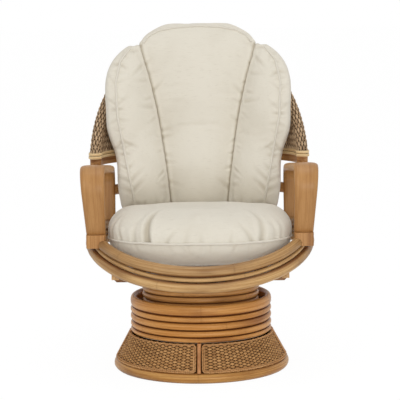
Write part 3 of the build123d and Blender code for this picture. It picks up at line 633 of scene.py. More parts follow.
@dataclass(frozen=True)
class CaneFinish(Finish):
    """Lacquered cane, pole or timber.

    Attributes:
        light: Colour of the palest fibres.
        body: Colour of most of it.
        dark: Colour of the darkest fibres and blotches.
        crease: Painted shade colour, deep between strands and where poles touch.
        fibres: Which way the fibres run.
        along: Streaks to the metre along the fibres.
        across: Streaks to the metre across them.
        knots: Distance between a pole's joints, 0 for none.
        roughness: Of the lacquer.
        bump: Height of the grain in metres.
        patches: Strength of the dark blotches.
        gloss: Weight of the lacquer's clear coat.
    """

    light: Colour
    body: Colour
    dark: Colour
    crease: Colour = tone(98, 48, 16)
    fibres: Fibres = Fibres.STRAND
    along: float = 6.0
    across: float = 260.0
    knots: float = 0.0
    roughness: float = 0.42
    bump: float = 0.0006
    patches: float = 0.75
    gloss: float = 0.12

    def coordinates(self, graph: Graph) -> Socket:
        """Return a vector whose X runs along the fibres, in metres."""
        if self.fibres is Fibres.STRAND:
            return graph.attribute(self.fibres.value, "Vector")
        place = graph.place()
        parts = graph.parts(place)
        if self.fibres is Fibres.ROUND:
            angle = graph.math("ARCTAN2", parts[0], parts[1])
            reach = graph.add("ShaderNodeVectorMath", {0: place}, operation="LENGTH")
            way = graph.math("MULTIPLY", angle, RAIL_RADIUS)
            order = (way, reach.outputs["Value"], parts[2])
        else:
            order = [parts[axis] for axis in self.fibres.value]
        return graph.add("ShaderNodeCombineXYZ", dict(enumerate(order))).outputs[0]

    def joints(self, graph: Graph, vector: Socket) -> Socket:
        """Return 1 at a pole's joints, which are a little unevenly spaced, and 0 between."""
        drift = graph.math("MULTIPLY", graph.noise(vector, (1.4, 0.0, 0.0), 1.0), 1.5)
        share = graph.math("DIVIDE", graph.parts(vector)[0], self.knots)
        share = graph.math("FRACT", graph.math("ADD", share, drift))
        away = graph.math("ABSOLUTE", graph.math("SUBTRACT", share, 0.5))
        away = graph.math("MULTIPLY", away, self.knots)
        return graph.math("SUBTRACT", 1.0, graph.ramp(away, 0.0010, 0.0050))

    def shader(self, graph: Graph) -> Node:
        """Add grain, blotches, joints and painted shade in creases under a lacquer."""
        vector = self.coordinates(graph)
        grain = graph.add(
            "ShaderNodeGroup",
            {"Vector": vector, "Along": self.along, "Across": self.across},
            node_tree=cane_grain_group(),
        ).outputs
        colour = graph.mix(graph.ramp(grain["Streak"], 0.36, 0.66), self.light, self.body)
        patches = graph.ramp(grain["Blotch"], 0.46, 0.76, self.patches)
        colour = graph.mix(patches, colour, self.dark)
        colour = graph.mix(graph.ramp(grain["Speck"], 0.55, 0.8, 0.35), colour, self.dark)
        height = grain["Height"]
        if self.knots:
            joint = self.joints(graph, vector)
            colour = graph.mix(graph.math("MULTIPLY", joint, 0.22), colour, self.dark)
            height = graph.math("SUBTRACT", height, graph.math("MULTIPLY", joint, 0.3))
        # Painted shade: mix towards the crease colour where the depth attribute is high.
        crease = graph.ramp(graph.attribute("depth"), 0.18, 0.78, 0.95)
        colour = graph.mix(crease, colour, self.crease)
        rough = graph.math("MULTIPLY", grain["Streak"], 0.2)
        rough = graph.math("ADD", rough, self.roughness - 0.1)
        normal = graph.bump(height, self.bump, 0.6)
        inputs = {"Base Color": colour, "Roughness": rough, "Normal": normal}
        shader = graph.add("ShaderNodeBsdfPrincipled", inputs)
        shader.inputs["Specular IOR Level"].default_value = 2 * self.gloss
        shader.inputs["Coat Weight"].default_value = self.gloss
        shader.inputs["Coat Roughness"].default_value = 0.25
        return shader


@dataclass(frozen=True)
class ClothFinish(Finish):
    """Matt woven cover of a cushion.

    Attributes:
        body: Colour of the cover.
        shade: Colour of its darker threads, slubs and older patches, and painted shade in its
            folds.
        pitch: Thread pitch in metres.
    """

    body: Colour
    shade: Colour
    pitch: float = 0.0016

    def shader(self, graph: Graph) -> Node:
        """Add threads, slubs and painted shade in folds and along seams on matt cloth."""
        place = graph.place()
        weave = graph.add(
            "ShaderNodeGroup",
            {"Vector": place, "Pitch": self.pitch},
            node_tree=cloth_weave_group(),
        ).outputs
        shares = (
            graph.math("MULTIPLY", weave["Thread"], 0.18),
            graph.ramp(graph.noise(place, 9.0, 3.0), 0.45, 0.75, 0.1),
            graph.ramp(weave["Slub"], 0.55, 0.8, 0.25),
            # Painted shade in folds and along seams.
            graph.math("MULTIPLY", graph.attribute("fold"), 0.7),
        )
        colour = self.body
        for share in shares:
            colour = graph.mix(share, colour, self.shade)
        normal = graph.bump(weave["Height"], 0.0004, 0.5)
        shader = graph.add("ShaderNodeBsdfPrincipled", {"Base Color": colour, "Normal": normal})
        shader.inputs["Roughness"].default_value = 0.92
        shader.inputs["Specular IOR Level"].default_value = 0.2
        shader.inputs["Sheen Weight"].default_value = 0.2
        shader.inputs["Sheen Roughness"].default_value = 0.5
        return shader


@dataclass(frozen=True)
class HardFinish(Finish):
    """Steel or plastic with fine wear.

    Attributes:
        body: Main colour.
        worn: Colour of rubbed or dusty patches.
        metallic: 1 for metal.
        roughness: Least roughness.
    """

    body: Colour
    worn: Colour
    metallic: float
    roughness: float

    def shader(self, graph: Graph) -> Node:
        """Add worn clouds and fine scratches."""
        place = graph.place()
        cloud = graph.noise(place, 45.0, 4.0)
        colour = graph.mix(graph.ramp(cloud, 0.45, 0.75), self.body, self.worn)
        rough = graph.math("ADD", graph.math("MULTIPLY", cloud, 0.3), self.roughness)
        normal = graph.bump(graph.noise(place, 900.0, 2.0), 0.0002, 0.3)
        inputs = {"Base Color": colour, "Roughness": rough, "Normal": normal}
        shader = graph.add("ShaderNodeBsdfPrincipled", inputs)
        shader.inputs["Metallic"].default_value = self.metallic
        return shader


def pole(name: str, light: Colour, body: Colour, dark: Colour, knots: float) -> CaneFinish:
    """Return the finish of a bent pole with joints."""
    return CaneFinish(name, light, body, dark, knots=knots)


def woven(name: str, light: Colour, body: Colour, dark: Colour, crease: Colour) -> CaneFinish:
    """Return the finish of a dull weave of split cane, with painted shade deep in it."""
    fine = {"along": 30.0, "across": 500.0, "patches": 0.9, "gloss": 0.02}
    return CaneFinish(name, light, body, dark, crease=crease, **fine)


def timber(name: str, light: Colour, body: Colour, dark: Colour, fibres: Fibres) -> CaneFinish:
    """Return the finish of a sawn board."""
    return CaneFinish(name, light, body, dark, fibres=fibres, across=120.0)


SEAT_POLE = pole("honey_pole", tone(200, 162, 110), tone(174, 132, 80), tone(122, 80, 38), 0.43)
# Darker than the seat pole below: a more orange-brown tone plus painted shade from the cushion
# above.
UPPER_POLE = pole("umber_pole", tone(184, 146, 98), tone(158, 118, 70), tone(108, 70, 34), 0.41)
COLLAR_POLE = pole("amber_pole", tone(206, 148, 80), tone(182, 120, 52), tone(130, 74, 24), 0.39)
INNER_POLE = pole("russet_pole", tone(208, 154, 92), tone(182, 126, 64), tone(126, 78, 32), 0.31)
FLOOR_POLE = pole("floor_pole", tone(196, 146, 80), tone(168, 114, 52), tone(122, 74, 26), 0.47)
# Each weave's last colour is the painted shade deep between its strands.
SKIRT_WEAVE = woven(
    "skirt_weave", tone(206, 158, 104), tone(160, 114, 68), tone(94, 58, 30), tone(44, 24, 11)
)
BACK_WEAVE = woven(
    "woven_back", tone(210, 182, 148), tone(164, 134, 102), tone(102, 74, 50), tone(52, 34, 20)
)
STRAND_GRAIN = {"along": 14.0, "across": 500.0}
PALE_TONES = tone(232, 206, 160), tone(212, 178, 126), tone(160, 118, 72)
PALE_CANE = CaneFinish("binding_strand", *PALE_TONES, **STRAND_GRAIN)
BORDER_TONES = tone(210, 164, 112), tone(178, 128, 78), tone(124, 80, 42)
BORDER_CANE = CaneFinish("border_cane", *BORDER_TONES, **STRAND_GRAIN, gloss=0.06)
# A near-black sheet behind the weaves: painted shade seen through their gaps.
SHADE_BACKING_TONES = tone(84, 52, 26), tone(60, 34, 15), tone(34, 18, 8)
SHADE_BACKING = CaneFinish("weave_shade_backing", *SHADE_BACKING_TONES, along=30.0, across=400.0, gloss=0.0)
ARM_TONES = tone(180, 134, 82), tone(166, 119, 68), tone(134, 88, 44)
ARM_WOOD = CaneFinish("arm_wood", *ARM_TONES, along=9.0, across=420.0, patches=0.4)
SKIRT_POST_TONES = tone(206, 150, 98), tone(184, 124, 74), tone(140, 88, 46)
POST_CANE = CaneFinish("skirt_post_cane", *SKIRT_POST_TONES, fibres=Fibres.ALONG_Z)
POST_TONES = tone(186, 138, 84), tone(162, 112, 60), tone(118, 72, 32)
POST_POLE = CaneFinish("upright_pole", *POST_TONES, fibres=Fibres.ALONG_Z)
RAIL_TONES = tone(188, 140, 86), tone(158, 108, 58), tone(112, 68, 30)
RAIL_POLE = CaneFinish("rail_pole", *RAIL_TONES, fibres=Fibres.ROUND)
BOARD_TONES = tone(200, 160, 110), tone(176, 134, 84), tone(140, 98, 54)
BOARD_Y = timber("board_wood", *BOARD_TONES, Fibres.ALONG_Y)
BOARD_X = timber("slat_wood", *BOARD_TONES, Fibres.ALONG_X)
BEARER_WOOD = timber(
    "bearer_wood", tone(150, 106, 62), tone(126, 84, 46), tone(90, 56, 28), Fibres.ALONG_X
)
COVER = ClothFinish("cushion_cover", tone(223, 217, 203), tone(176, 165, 144))
PIPING = ClothFinish("cushion_piping", tone(222, 216, 203), tone(176, 166, 146), pitch=0.0011)
STEEL = HardFinish("dark_steel", tone(74, 74, 76), tone(110, 106, 100), 1.0, 0.32)
BRIGHT = HardFinish("bright_steel", tone(190, 190, 188), tone(150, 148, 144), 1.0, 0.18)
NYLON = HardFinish("bearing_nylon", tone(226, 222, 210), tone(190, 184, 168), 0.0, 0.4)


def dress(
    piece: bpy.types.Object, finish: Finish, body: str, slot: str, *nodes: str
) -> bpy.types.Object:
    """Give a piece its finish and its body, and hide the nodes that it stands for.

    Args:
        piece: A finished mesh at the origin.
        finish: Its finish.
        body: The body that carries it.
        slot: The record's material slot; not used.
        nodes: The frame's nodes that it replaces.

    Returns:
        The piece.
    """
    piece.data.materials.clear()
    piece.data.materials.append(finish.material())
    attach(piece, body)
    if nodes:
        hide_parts(*nodes)
    LOG.info("%s: %d faces on %s", piece.name, len(piece.data.polygons), body)
    return piece


# ---------------------------------------------------------------- weaves


@dataclass(frozen=True)
class Weave:
    """How strands pass in front of stakes and behind them.

    Attributes:
        finish: Of the strands and the stakes.
        body: The body that carries them.
        pitch: Distance between two stakes.
        swing: How far a strand leaves the weave's middle.
        strand: Half thickness of a strand.
        swell: How much its half width grows in front of a stake.
        base: Flat Z of the weave's middle.
        facing: 1 if it is seen from its flat +Z side, -1 if from the other.
        slack: How far the painted shade of the weave's depths reaches beyond the swing.
        stake: Half width and half thickness of a stake.
        sides: Faces round a strand.
    """

    finish: CaneFinish
    body: str
    pitch: float
    swing: float
    strand: float
    swell: float
    base: float = 0.0
    facing: int = 1
    slack: float = 0.0
    stake: tuple[float, float] = (0.0017, 0.0014)
    sides: int = 6

    def height(self, way: Array) -> Array:
        """Return the flat Z of strands, one to a row, at distances across the stakes."""
        side = np.pi * (np.arange(len(way)) % 2)[:, None]
        return self.base + self.swing * np.cos(np.pi * way / self.pitch + side)

    def lay(self, panel: str, node: str, lines: Array, stakes: Array, place: Place) -> None:
        """Lay the strands and the stakes of one panel.

        Args:
            panel: Name of its pieces, with a gap for their kind.
            node: The node that the strands replace.
            lines: The strands' flat centrelines.
            stakes: The stakes' flat centrelines.
            place: Wraps flat coordinates on to the panel's surface.
        """
        # Painted shade: strands darken from their proud face towards the deep one.
        reach = self.swing + self.slack
        shared = {
            "place": place,
            "deep": self.base - self.facing * reach,
            "proud": self.base + self.facing * (reach + self.strand),
        }
        widths = STRAND_WIDTH + self.facing * self.swell * (lines[:, :, 2] - self.base) / self.swing
        strands = Strands(
            panel.format("weave"), lines, widths, self.strand, sides=self.sides, **shared
        )
        strands.lay(self.finish, self.body, "woven_cane", node)
        rods = Strands(panel.format("stakes"), stakes, *self.stake, **shared)
        rods.lay(self.finish, self.body, "woven_cane")


@dataclass(frozen=True)
class Border:
    """Two strands twisted into a cord round a panel.

    Attributes:
        name: Part of its piece's name.
        inset: Distance from the panel's foot and sides.
        head: Distance from its head.
        closed: True for a path all the way round, False for one open at the head.
        cord: Distance of each strand from the path, a little less than its half thickness.
    """

    name: str
    inset: float
    head: float
    closed: bool
    cord: float


# ---------------------------------------------------------------- base


@dataclass
class Skirt:
    """Four woven panels on the drum's cone, each with twisted borders.

    Flat X runs round the cone, flat Y up its slope and flat Z outward.
    """

    foot_radius: float = 0.266
    head_radius: float = 0.2215
    foot: float = 0.032
    rise: float = 0.082
    turn: float = math.radians(-1.8)
    half_angle: float = math.radians(43.06)
    corner: float = 0.012
    least_corner: float = 0.004
    row_pitch: float = 0.0046
    row_gap: float = 0.0015
    stake_gap: float = 0.003
    stake_end: float = 0.002
    # Sizes of the dark sheet behind each panel: painted shade seen through the weave's gaps.
    shade_backing_level: float = -0.0088
    shade_backing_spread: float = 0.0028
    shade_backing_drop: float = 0.001
    border_turn: float = 0.0125
    border_level: float = -0.0004
    # Flat heights of the borders' painted shade: strongest at the first, gone at the second.
    border_depths: tuple[float, float] = (-0.0042, 0.001)
    weave: Weave = Weave(SKIRT_WEAVE, "base", 0.0131, 0.0026, 0.0010, 0.0011, base=-0.0046)
    borders: tuple[Border, ...] = (
        Border("loop", 0.0030, 0.0045, True, 0.0014),
        Border("cup", 0.0078, 0.0090, False, 0.0011),
    )

    def slant(self) -> float:
        """Return the panel's height along its slope."""
        return math.hypot(self.rise, self.foot_radius - self.head_radius)

    def mean_radius(self) -> float:
        """Return the cone's radius halfway up."""
        return (self.foot_radius + self.head_radius) / 2

    def half_width(self) -> float:
        """Return half a panel's width round the cone, at its middle."""
        return self.half_angle * self.mean_radius()

    def place(self, middle: float) -> Place:
        """Return the wrap of flat coordinates on to the cone about one angle."""
        lean = (self.foot_radius - self.head_radius) / self.slant()
        climb = self.rise / self.slant()

        def wrap(flat: Array) -> Array:
            """Wrap rows of flat coordinates."""
            angle = middle + flat[:, 0] / self.mean_radius()
            reach = self.foot_radius - lean * flat[:, 1] + climb * flat[:, 2]
            level = self.foot + climb * flat[:, 1] + lean * flat[:, 2]
            return np.stack([reach * np.cos(angle), reach * np.sin(angle), level], axis=1)

        return wrap

    def weavers(self) -> Array:
        """Return the weavers, flat, drawn in at the rounded corners."""
        height = self.slant()
        rows = np.arange(self.row_pitch * 0.6, height - self.row_pitch * 0.4, self.row_pitch)
        edge = np.maximum(self.corner - np.minimum(rows, height - rows), 0)
        inset = self.corner - np.sqrt(np.maximum(self.corner**2 - edge**2, 0))
        x = np.linspace(-1, 1, 140) * (self.half_width() - self.row_gap - inset)[:, None]
        return np.stack([x, np.broadcast_to(rows[:, None], x.shape), self.weave.height(x)], axis=2)

    def stakes(self) -> Array:
        """Return the stakes, flat."""
        half, pitch = self.half_width(), self.weave.pitch
        spots = np.arange(-np.floor(half / pitch), half / pitch) * pitch
        spots = spots[np.abs(spots) < half - self.stake_gap]
        climb = np.linspace(self.stake_end, self.slant() - self.stake_end, 8)
        x, y = np.meshgrid(spots, climb, indexing="ij")
        return np.stack([x, y, np.full(x.shape, self.weave.base)], axis=2)

    def outline(self, border: Border) -> Array:
        """Return a border's flat path round a panel, evenly spaced."""
        x, low = self.half_width() - border.inset, border.inset
        high = self.slant() - border.head
        points = [(-x, high), (-x, low), (x, low), (x, high)]
        if border.closed:
            points = [(0, high), *points, (0, high)]
        radius = max(self.corner - border.inset, self.least_corner)
        corners = np.array([(a, b, 0.0) for a, b in points])
        return resample(rounded_corners(corners, [radius] * (len(points) - 2)), 620)

    def build(self) -> None:
        """Make the four panels."""
        weavers, stakes = self.weavers(), self.stakes()
        edge = self.half_width() + self.shade_backing_spread
        tall = self.slant() - self.shade_backing_drop
        deep, proud = self.border_depths
        for quarter, side in enumerate(("front", "right", "rear", "left")):
            wrap = self.place(math.radians(-45 + 90 * quarter) + self.turn)
            self.weave.lay(f"skirt_{{}}_{side}", f"skirt_panel_{side}", weavers, stakes, wrap)
            lay_shade_backing(
                f"skirt_shade_backing_{side}",
                "base",
                (-edge, edge),
                lambda x: np.full(len(x), tall),
                self.shade_backing_level,
                wrap,
            )
            for border in self.borders:
                cords = twisted(self.outline(border), border.cord, self.border_turn)
                cords[:, :, 2] += self.border_level
                trim = Strands(
                    f"skirt_border_{border.name}_{side}",
                    cords,
                    border.cord + 0.0002,
                    border.cord + 0.0001,
                    place=wrap,
                    deep=deep,
                    proud=proud,
                )
                trim.lay(BORDER_CANE, "base", "pale_cane")


@dataclass(frozen=True)
class Ring:
    """One bent pole closed to a hoop.

    Attributes:
        name: The piece's name.
        node: The node that it replaces.
        body: The body that carries it.
        radius: Of the centreline in plan.
        half_width: Half the pole's width in plan.
        half_height: Half its height.
        level: Height of the centreline as a function of plan X and Y.
        top_bottom_shade: Painted shade on its upper and lower touching lines.
        finish: Its finish.
        squareness: Of its section.
        planed: True if it stands flat on the floor.
    """

    name: str
    node: str
    body: str
    radius: float
    half_width: float
    half_height: float
    level: Level
    top_bottom_shade: tuple[float, float]
    finish: CaneFinish
    squareness: float = 2.0
    planed: bool = False

    def build(self, seed: float) -> None:
        """Bend the pole, a little uneven as grown cane is."""
        angle = np.linspace(0, TURN, 361)
        travelled = angle * self.radius
        radius = self.radius + 0.0003 * wander(angle, TURN, seed)
        x, y = radius * np.sin(angle), radius * np.cos(angle)
        line = np.stack([x, y, self.level(x, y)], axis=1)
        line[-1] = line[0]
        uneven = 1.006 + 0.006 * wander(angle, TURN / 3, seed + 2)
        pitch = self.finish.knots or 1.0
        knots = bell(((travelled / pitch + seed) % 1 - 0.5) * pitch, 0.004)
        uneven = uneven + 0.03 * knots
        uneven[-1] = uneven[0]
        ring = Strands(
            self.name,
            line[None],
            self.half_width * uneven[None],
            np.minimum(self.half_height * uneven, self.half_height * 1.01)[None],
            sides=24,
            closed=True,
            squareness=self.squareness,
            top_bottom_shade=self.top_bottom_shade,
            start=0.83 * seed,
            place=(lambda points: np.maximum(points, [-9.0, -9.0, 0.0])) if self.planed else None,
        )
        ring.lay(self.finish, self.body, "rattan_pole", self.node)


def level_at(height: float, slope: float = 0.0) -> Level:
    """Return the line of a flat hoop that falls towards the rear by a slope."""
    return lambda x, y: height - slope * y


@dataclass
class Hoops:
    """All the bent hoops: floor, outer collar, inner collar and seat."""

    collar_outer: float = 0.219
    collar_widths: tuple[float, ...] = (0.017, 0.021, 0.024, 0.020, 0.020)
    inner_outer: float = 0.1815
    inner_pole: float = 0.0198
    inner_count: int = 4
    inner_bottom: float = 0.200
    lean: float = math.radians(2.5)
    floor_pole: float = 0.033
    seat_radius: float = 0.339
    seat_pole: float = 0.030
    upper_inset: float = 0.011
    upper_rise: float = 0.044
    upper_pole: float = 0.032
    cane_ease: float = 0.00062
    crest: float = 0.408
    front_slope: float = 0.30
    rear_slope: float = 0.16
    crest_round: float = 0.050

    def seat_level(self, rise: float) -> Level:
        """Return the scooped line of a seat hoop that stands above the lower one."""
        fall = (self.front_slope + self.rear_slope) / 2
        tilt = (self.front_slope - self.rear_slope) / 2
        return lambda x, y: self.crest + rise + tilt * y - fall * np.hypot(y, self.crest_round)

    def floor_rings(self) -> list[Ring]:
        """List the floor hoop."""
        half, top = self.floor_pole / 2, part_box("base_hoop")[1]
        # Painted shade on the floor pole's top and bottom lines.
        at, top_bottom_shade = level_at(top.z - half), (0.6, 0.5)
        ring = ("floor_ring", "base_hoop", "base", top.x - half, half, half, at, top_bottom_shade, FLOOR_POLE)
        return [Ring(*ring, planed=True)]

    def collar_rings(self) -> list[Ring]:
        """List the outer collar's hoops, from the lowest to the oval one on top."""
        rings = []
        names = ("lowest", "lower", "middle", "upper", "top")
        for name, width in zip(names, self.collar_widths):
            low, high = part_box(f"collar_hoop_{name}")
            ring = Ring(
                f"collar_ring_{name}",
                f"collar_hoop_{name}",
                "base",
                self.collar_outer - width / 2,
                width / 2,
                (high.z - low.z) / 2,
                level_at((high.z + low.z) / 2),
                # Painted shade on the top and bottom lines: none above the top hoop, less below the
                # lowest.
                (0.0 if name == "top" else 0.75, 0.3 if name == "lowest" else 0.8),
                COLLAR_POLE,
                2.3 if name == "top" else 2.0,
            )
            rings.append(ring)
        return rings

    def inner_rings(self) -> list[Ring]:
        """List the inner collar's hoops, from below."""
        rings, half = [], self.inner_pole / 2
        for index in range(self.inner_count):
            middle = (index + 0.5) * self.inner_pole
            ring = Ring(
                f"inner_ring_{index + 1}",
                f"inner_collar_hoop_{index + 1}",
                "seat",
                self.inner_outer - half,
                half,
                half,
                level_at(self.inner_bottom + middle / math.cos(self.lean), math.tan(self.lean)),
                # Painted shade on the top and bottom lines, less above the highest hoop.
                (0.6 if index < self.inner_count - 1 else 0.3, 0.7),
                INNER_POLE,
            )
            rings.append(ring)
        return rings

    def seat_rings(self) -> list[Ring]:
        """List the seat's lower pole, the thin cane in the groove and the upper pole."""
        gap = math.hypot(self.upper_inset, self.upper_rise)
        cane = gap - (self.seat_pole + self.upper_pole) / 2
        share = (self.seat_pole + cane) / 2 / gap
        rings = []
        # Each row's last entry is the painted shade on the pole's top and bottom lines.
        for name, at, pole, finish, top_bottom_shade in (
            ("lower", 0.0, self.seat_pole, SEAT_POLE, (0.6, 0.35)),
            ("cane", share, cane - 2 * self.cane_ease, SEAT_POLE, (0.35, 0.55)),
            ("upper", 1.0, self.upper_pole, UPPER_POLE, (0.0, 0.7)),
        ):
            ring = Ring(
                f"seat_ring_{name}",
                f"seat_hoop_{name}",
                "seat",
                self.seat_radius - at * self.upper_inset,
                pole / 2,
                pole / 2,
                self.seat_level(at * self.upper_rise),
                top_bottom_shade,
                finish,
            )
            rings.append(ring)
        return rings

    def build(self) -> None:
        """Make every hoop."""
        groups = (self.floor_rings, self.collar_rings, self.inner_rings, self.seat_rings)
        for seed, ring in enumerate(ring for group in groups for ring in group()):
            ring.build(1.3 * seed)


# ---------------------------------------------------------------- arms


@dataclass
class Arms:
    """Two bent laminated loops, as wide as a hand."""

    thickness: float = 0.027
    inner: float = 0.286
    inner_rear: float = 0.268
    outer_foot: float = 0.345
    outer: float = 0.362
    outer_rear: float = 0.338
    seam: float = 0.438
    front_foot: float = -0.125
    lean: float = 0.286
    top: float = 0.6435
    slope: float = 0.125
    rear: float = 0.200
    rear_foot: float = 0.165
    bends: tuple[float, float] = (0.056, 0.044)
    foot_drop: float = 0.010
    taper: float = 0.120
    narrow: float = 0.158

    def path(self, hoops: Hoops) -> Array:
        """Return the loop's centreline in Y and Z, from the front foot to the rear one."""
        front_top = self.front_foot - self.lean * (self.top - self.seam)
        rear_top = self.top - self.slope * (self.rear - front_top)
        foot = float(hoops.seat_level(hoops.upper_rise)(0.0, self.rear_foot))
        corners = [
            (self.front_foot + self.lean * self.foot_drop, self.seam - self.foot_drop),
            (front_top, self.top),
            (self.rear, rear_top),
            (self.rear_foot, foot),
        ]
        return resample(rounded_corners(np.array(corners), list(self.bends), 24), 150)

    def build(self, hoops: Hoops) -> None:
        """Make both arms."""
        path = self.path(hoops)
        y, z = path[:, 0], path[:, 1]
        inner = np.interp(y, [self.front_foot, self.taper], [self.inner, self.inner_rear])
        raised = np.clip((z - self.seam) / (self.top - self.seam), 0, 1)
        outer = np.minimum(
            self.outer_foot + raised * (self.outer - self.outer_foot),
            np.interp(y, [0.0, self.narrow], [self.outer, self.outer_rear]),
        )
        ahead = unit(np.gradient(path, axis=0))
        up = np.stack([np.zeros(len(y)), -ahead[:, 1], ahead[:, 0]], axis=1)
        for side, name in ((-1, "left"), (1, "right")):
            line = np.stack([side * (inner + outer) / 2, y, z], axis=1)
            arm = Strands(
                f"bent_arm_{name}",
                line[None],
                ((outer - inner) / 2)[None],
                self.thickness / 2,
                sides=48,
                flat_ends=True,
                up=up[None],
                squareness=3.2,
                place=self.cut_foot,
            )
            arm.lay(ARM_WOOD, "seat", "bent_wood", f"arm_{name}")

    def cut_foot(self, points: Array) -> Array:
        """Cut the front leg level where it stands on its block."""
        cut = points.copy()
        front = cut[:, 1] < 0
        cut[front, 2] = np.maximum(cut[front, 2], self.seam)
        return cut


# ---------------------------------------------------------------- woven back


@dataclass
class Shell:
    """The barrel back: two woven skins, a woven rim and a pale binding.

    Flat X runs round the shell from right to left, flat Y up it and flat Z outward.
    """

    half: float = 0.346
    deep: float = 0.200
    front: float = 0.150
    foot: float = 0.638
    arch: float = 0.369
    thickness: float = 0.036
    recline: float = math.tan(math.radians(20))
    strand_pitch: float = 0.0045
    skin_depth: float = 0.0036
    rim: float = 0.0150
    rim_shade_backing: float = 0.0118
    rim_foot: float = 0.002
    binding_gap: float = 0.0018
    binding_levels: tuple[float, float] = (0.0018, 0.0118)
    weave: Weave = Weave(BACK_WEAVE, "seat", 0.0175, 0.0028, 0.0011, 0.0010, sides=5)

    def plan(self, angle: Array, inset: Array | float) -> Array:
        """Return plan points at an angle on the ellipse, moved in by a distance."""
        across = np.cos(angle) * (self.half - inset)
        along = self.front + np.sin(angle) * (self.deep - inset)
        return np.stack([across, along], axis=-1)

    def height(self, angle: Array) -> Array:
        """Return the shell's height above its foot at a plan angle."""
        return self.arch * np.maximum(np.sin(angle), 0)

    def lifted(self, spot: Array, level: Array) -> Array:
        """Raise plan points up the reclined shell by heights above its foot."""
        return np.stack([spot[:, 0], spot[:, 1] + self.recline * level, self.foot + level], axis=1)

    def arc_table(self, inset: float) -> tuple[Array, Array]:
        """Return angles round the half ellipse and the distance travelled to each."""
        angles = np.linspace(0, math.pi, 1201)
        return angles, travel(self.plan(angles, inset))

    def wrap(self, inset: float) -> Place:
        """Return the wrap of flat coordinates on to the shell, moved in by a distance."""
        angles, travelled = self.arc_table(inset)

        def place(flat: Array) -> Array:
            """Wrap rows of flat coordinates."""
            angle = np.interp(flat[:, 0], travelled, angles)
            across, along = self.deep * np.cos(angle), self.half * np.sin(angle)
            normal = unit(np.stack([across, along, -along * self.recline], axis=1))
            return self.lifted(self.plan(angle, inset), flat[:, 1]) + normal * flat[:, 2:3]

        return place

    def skin_strands(self, inset: float, weave: Weave) -> Array:
        """Return a skin's upright strands, flat."""
        angles, travelled = self.arc_table(inset)
        count = int(travelled[-1] / self.strand_pitch)
        spots = (np.arange(count) + 0.5) * travelled[-1] / count
        height = self.height(np.interp(spots, travelled, angles))
        y = np.linspace(0, 1, 64) * height[:, None]
        return np.stack([np.broadcast_to(spots[:, None], y.shape), y, weave.height(y)], axis=2)

    def skin_stakes(self, inset: float, weave: Weave) -> Array:
        """Return a skin's level stakes, flat."""
        angles, travelled = self.arc_table(inset)
        levels = np.arange(weave.pitch, self.arch * 0.98, weave.pitch)
        start = np.interp(np.arcsin(levels / self.arch), angles, travelled)[:, None]
        x = start + np.linspace(0, 1, 90) * (travelled[-1] - 2 * start)
        y = np.broadcast_to(levels[:, None], x.shape)
        return np.stack([x, y, np.full(x.shape, weave.base)], axis=2)

    def build_skin(self, name: str, inset: float, facing: int) -> None:
        """Weave one skin over a dark sheet of painted shade."""
        weave = replace(self.weave, base=-facing * self.skin_depth, facing=facing)
        lines, stakes = self.skin_strands(inset, weave), self.skin_stakes(inset, weave)
        place = self.wrap(inset)
        weave.lay(f"back_{{}}_{name}", f"back_skin_{name}", lines, stakes, place)
        angles, travelled = self.arc_table(inset)
        ends = (0.002, travelled[-1] - 0.002)

        def height(x: Array) -> Array:
            """Return the dark sheet's height at each flat X, just short of the skin's."""
            return 0.985 * self.height(np.interp(x, travelled, angles))

        lay_shade_backing(f"back_shade_backing_{name}", "seat", ends, height, 2.1 * weave.base, place)

    def above_foot(self, points: Array) -> Array:
        """Cut the rim level just above the shell's foot."""
        return np.maximum(points, [-9.0, -9.0, self.foot + self.rim_foot])

    def build_rim(self) -> None:
        """Weave strands along the rim over rings, round a dark tube of painted shade."""
        angles = np.linspace(0, math.pi, 2401)
        edge = self.plan(angles, self.thickness / 2)
        centres = resample(self.lifted(edge, self.height(angles)), 1401)
        slope = self.deep - self.thickness / 2 + self.recline * self.arch
        face = unit(np.cross([1.0, 0.0, 0.0], [0.0, slope, self.arch]))
        inward = unit(np.cross(unit(np.gradient(centres, axis=0)), face))
        travelled = travel(centres)
        length, girth = travelled[-1], TURN * self.rim

        def wrap(flat: Array) -> Array:
            """Wrap rows of flat coordinates: along the rim, round it and outward."""
            station = np.clip(flat[:, 0], 0, length)
            centre, inner = (look_up(station, travelled, rows) for rows in (centres, inward))
            angle = flat[:, 1:2] / self.rim
            reach = self.rim + flat[:, 2:3]
            return self.above_foot(centre + reach * (np.cos(angle) * face + np.sin(angle) * inner))

        # The slack carries the rim's painted shade past the swing.
        tight = {"swing": 0.00224, "slack": 0.00056, "swell": 0.0008064, "stake": (0.0018, 0.0014)}
        weave = replace(self.weave, sides=6, **tight)
        count = 2 * round(girth / self.strand_pitch / 2)
        x, y = np.meshgrid(np.linspace(0, length, 420), np.arange(count) * girth / count)
        lines = np.stack([x, y, weave.height(x)], axis=2)
        spots = np.arange(weave.pitch, length - weave.pitch / 2, weave.pitch)
        x, y = np.meshgrid(spots, np.linspace(0, girth, 33), indexing="ij")
        rings = np.stack([x, y, np.zeros(x.shape)], axis=2)
        weave.lay("back_rim_{}", "back_rim_wrap", lines, rings, wrap)
        Strands(
            "back_rim_lining",
            centres[::7][None],
            self.rim_shade_backing,
            self.rim_shade_backing,
            sides=16,
            up=face[None],
            deep=-1.0,
            place=self.above_foot,
        ).lay(SHADE_BACKING, "seat", "woven_cane")

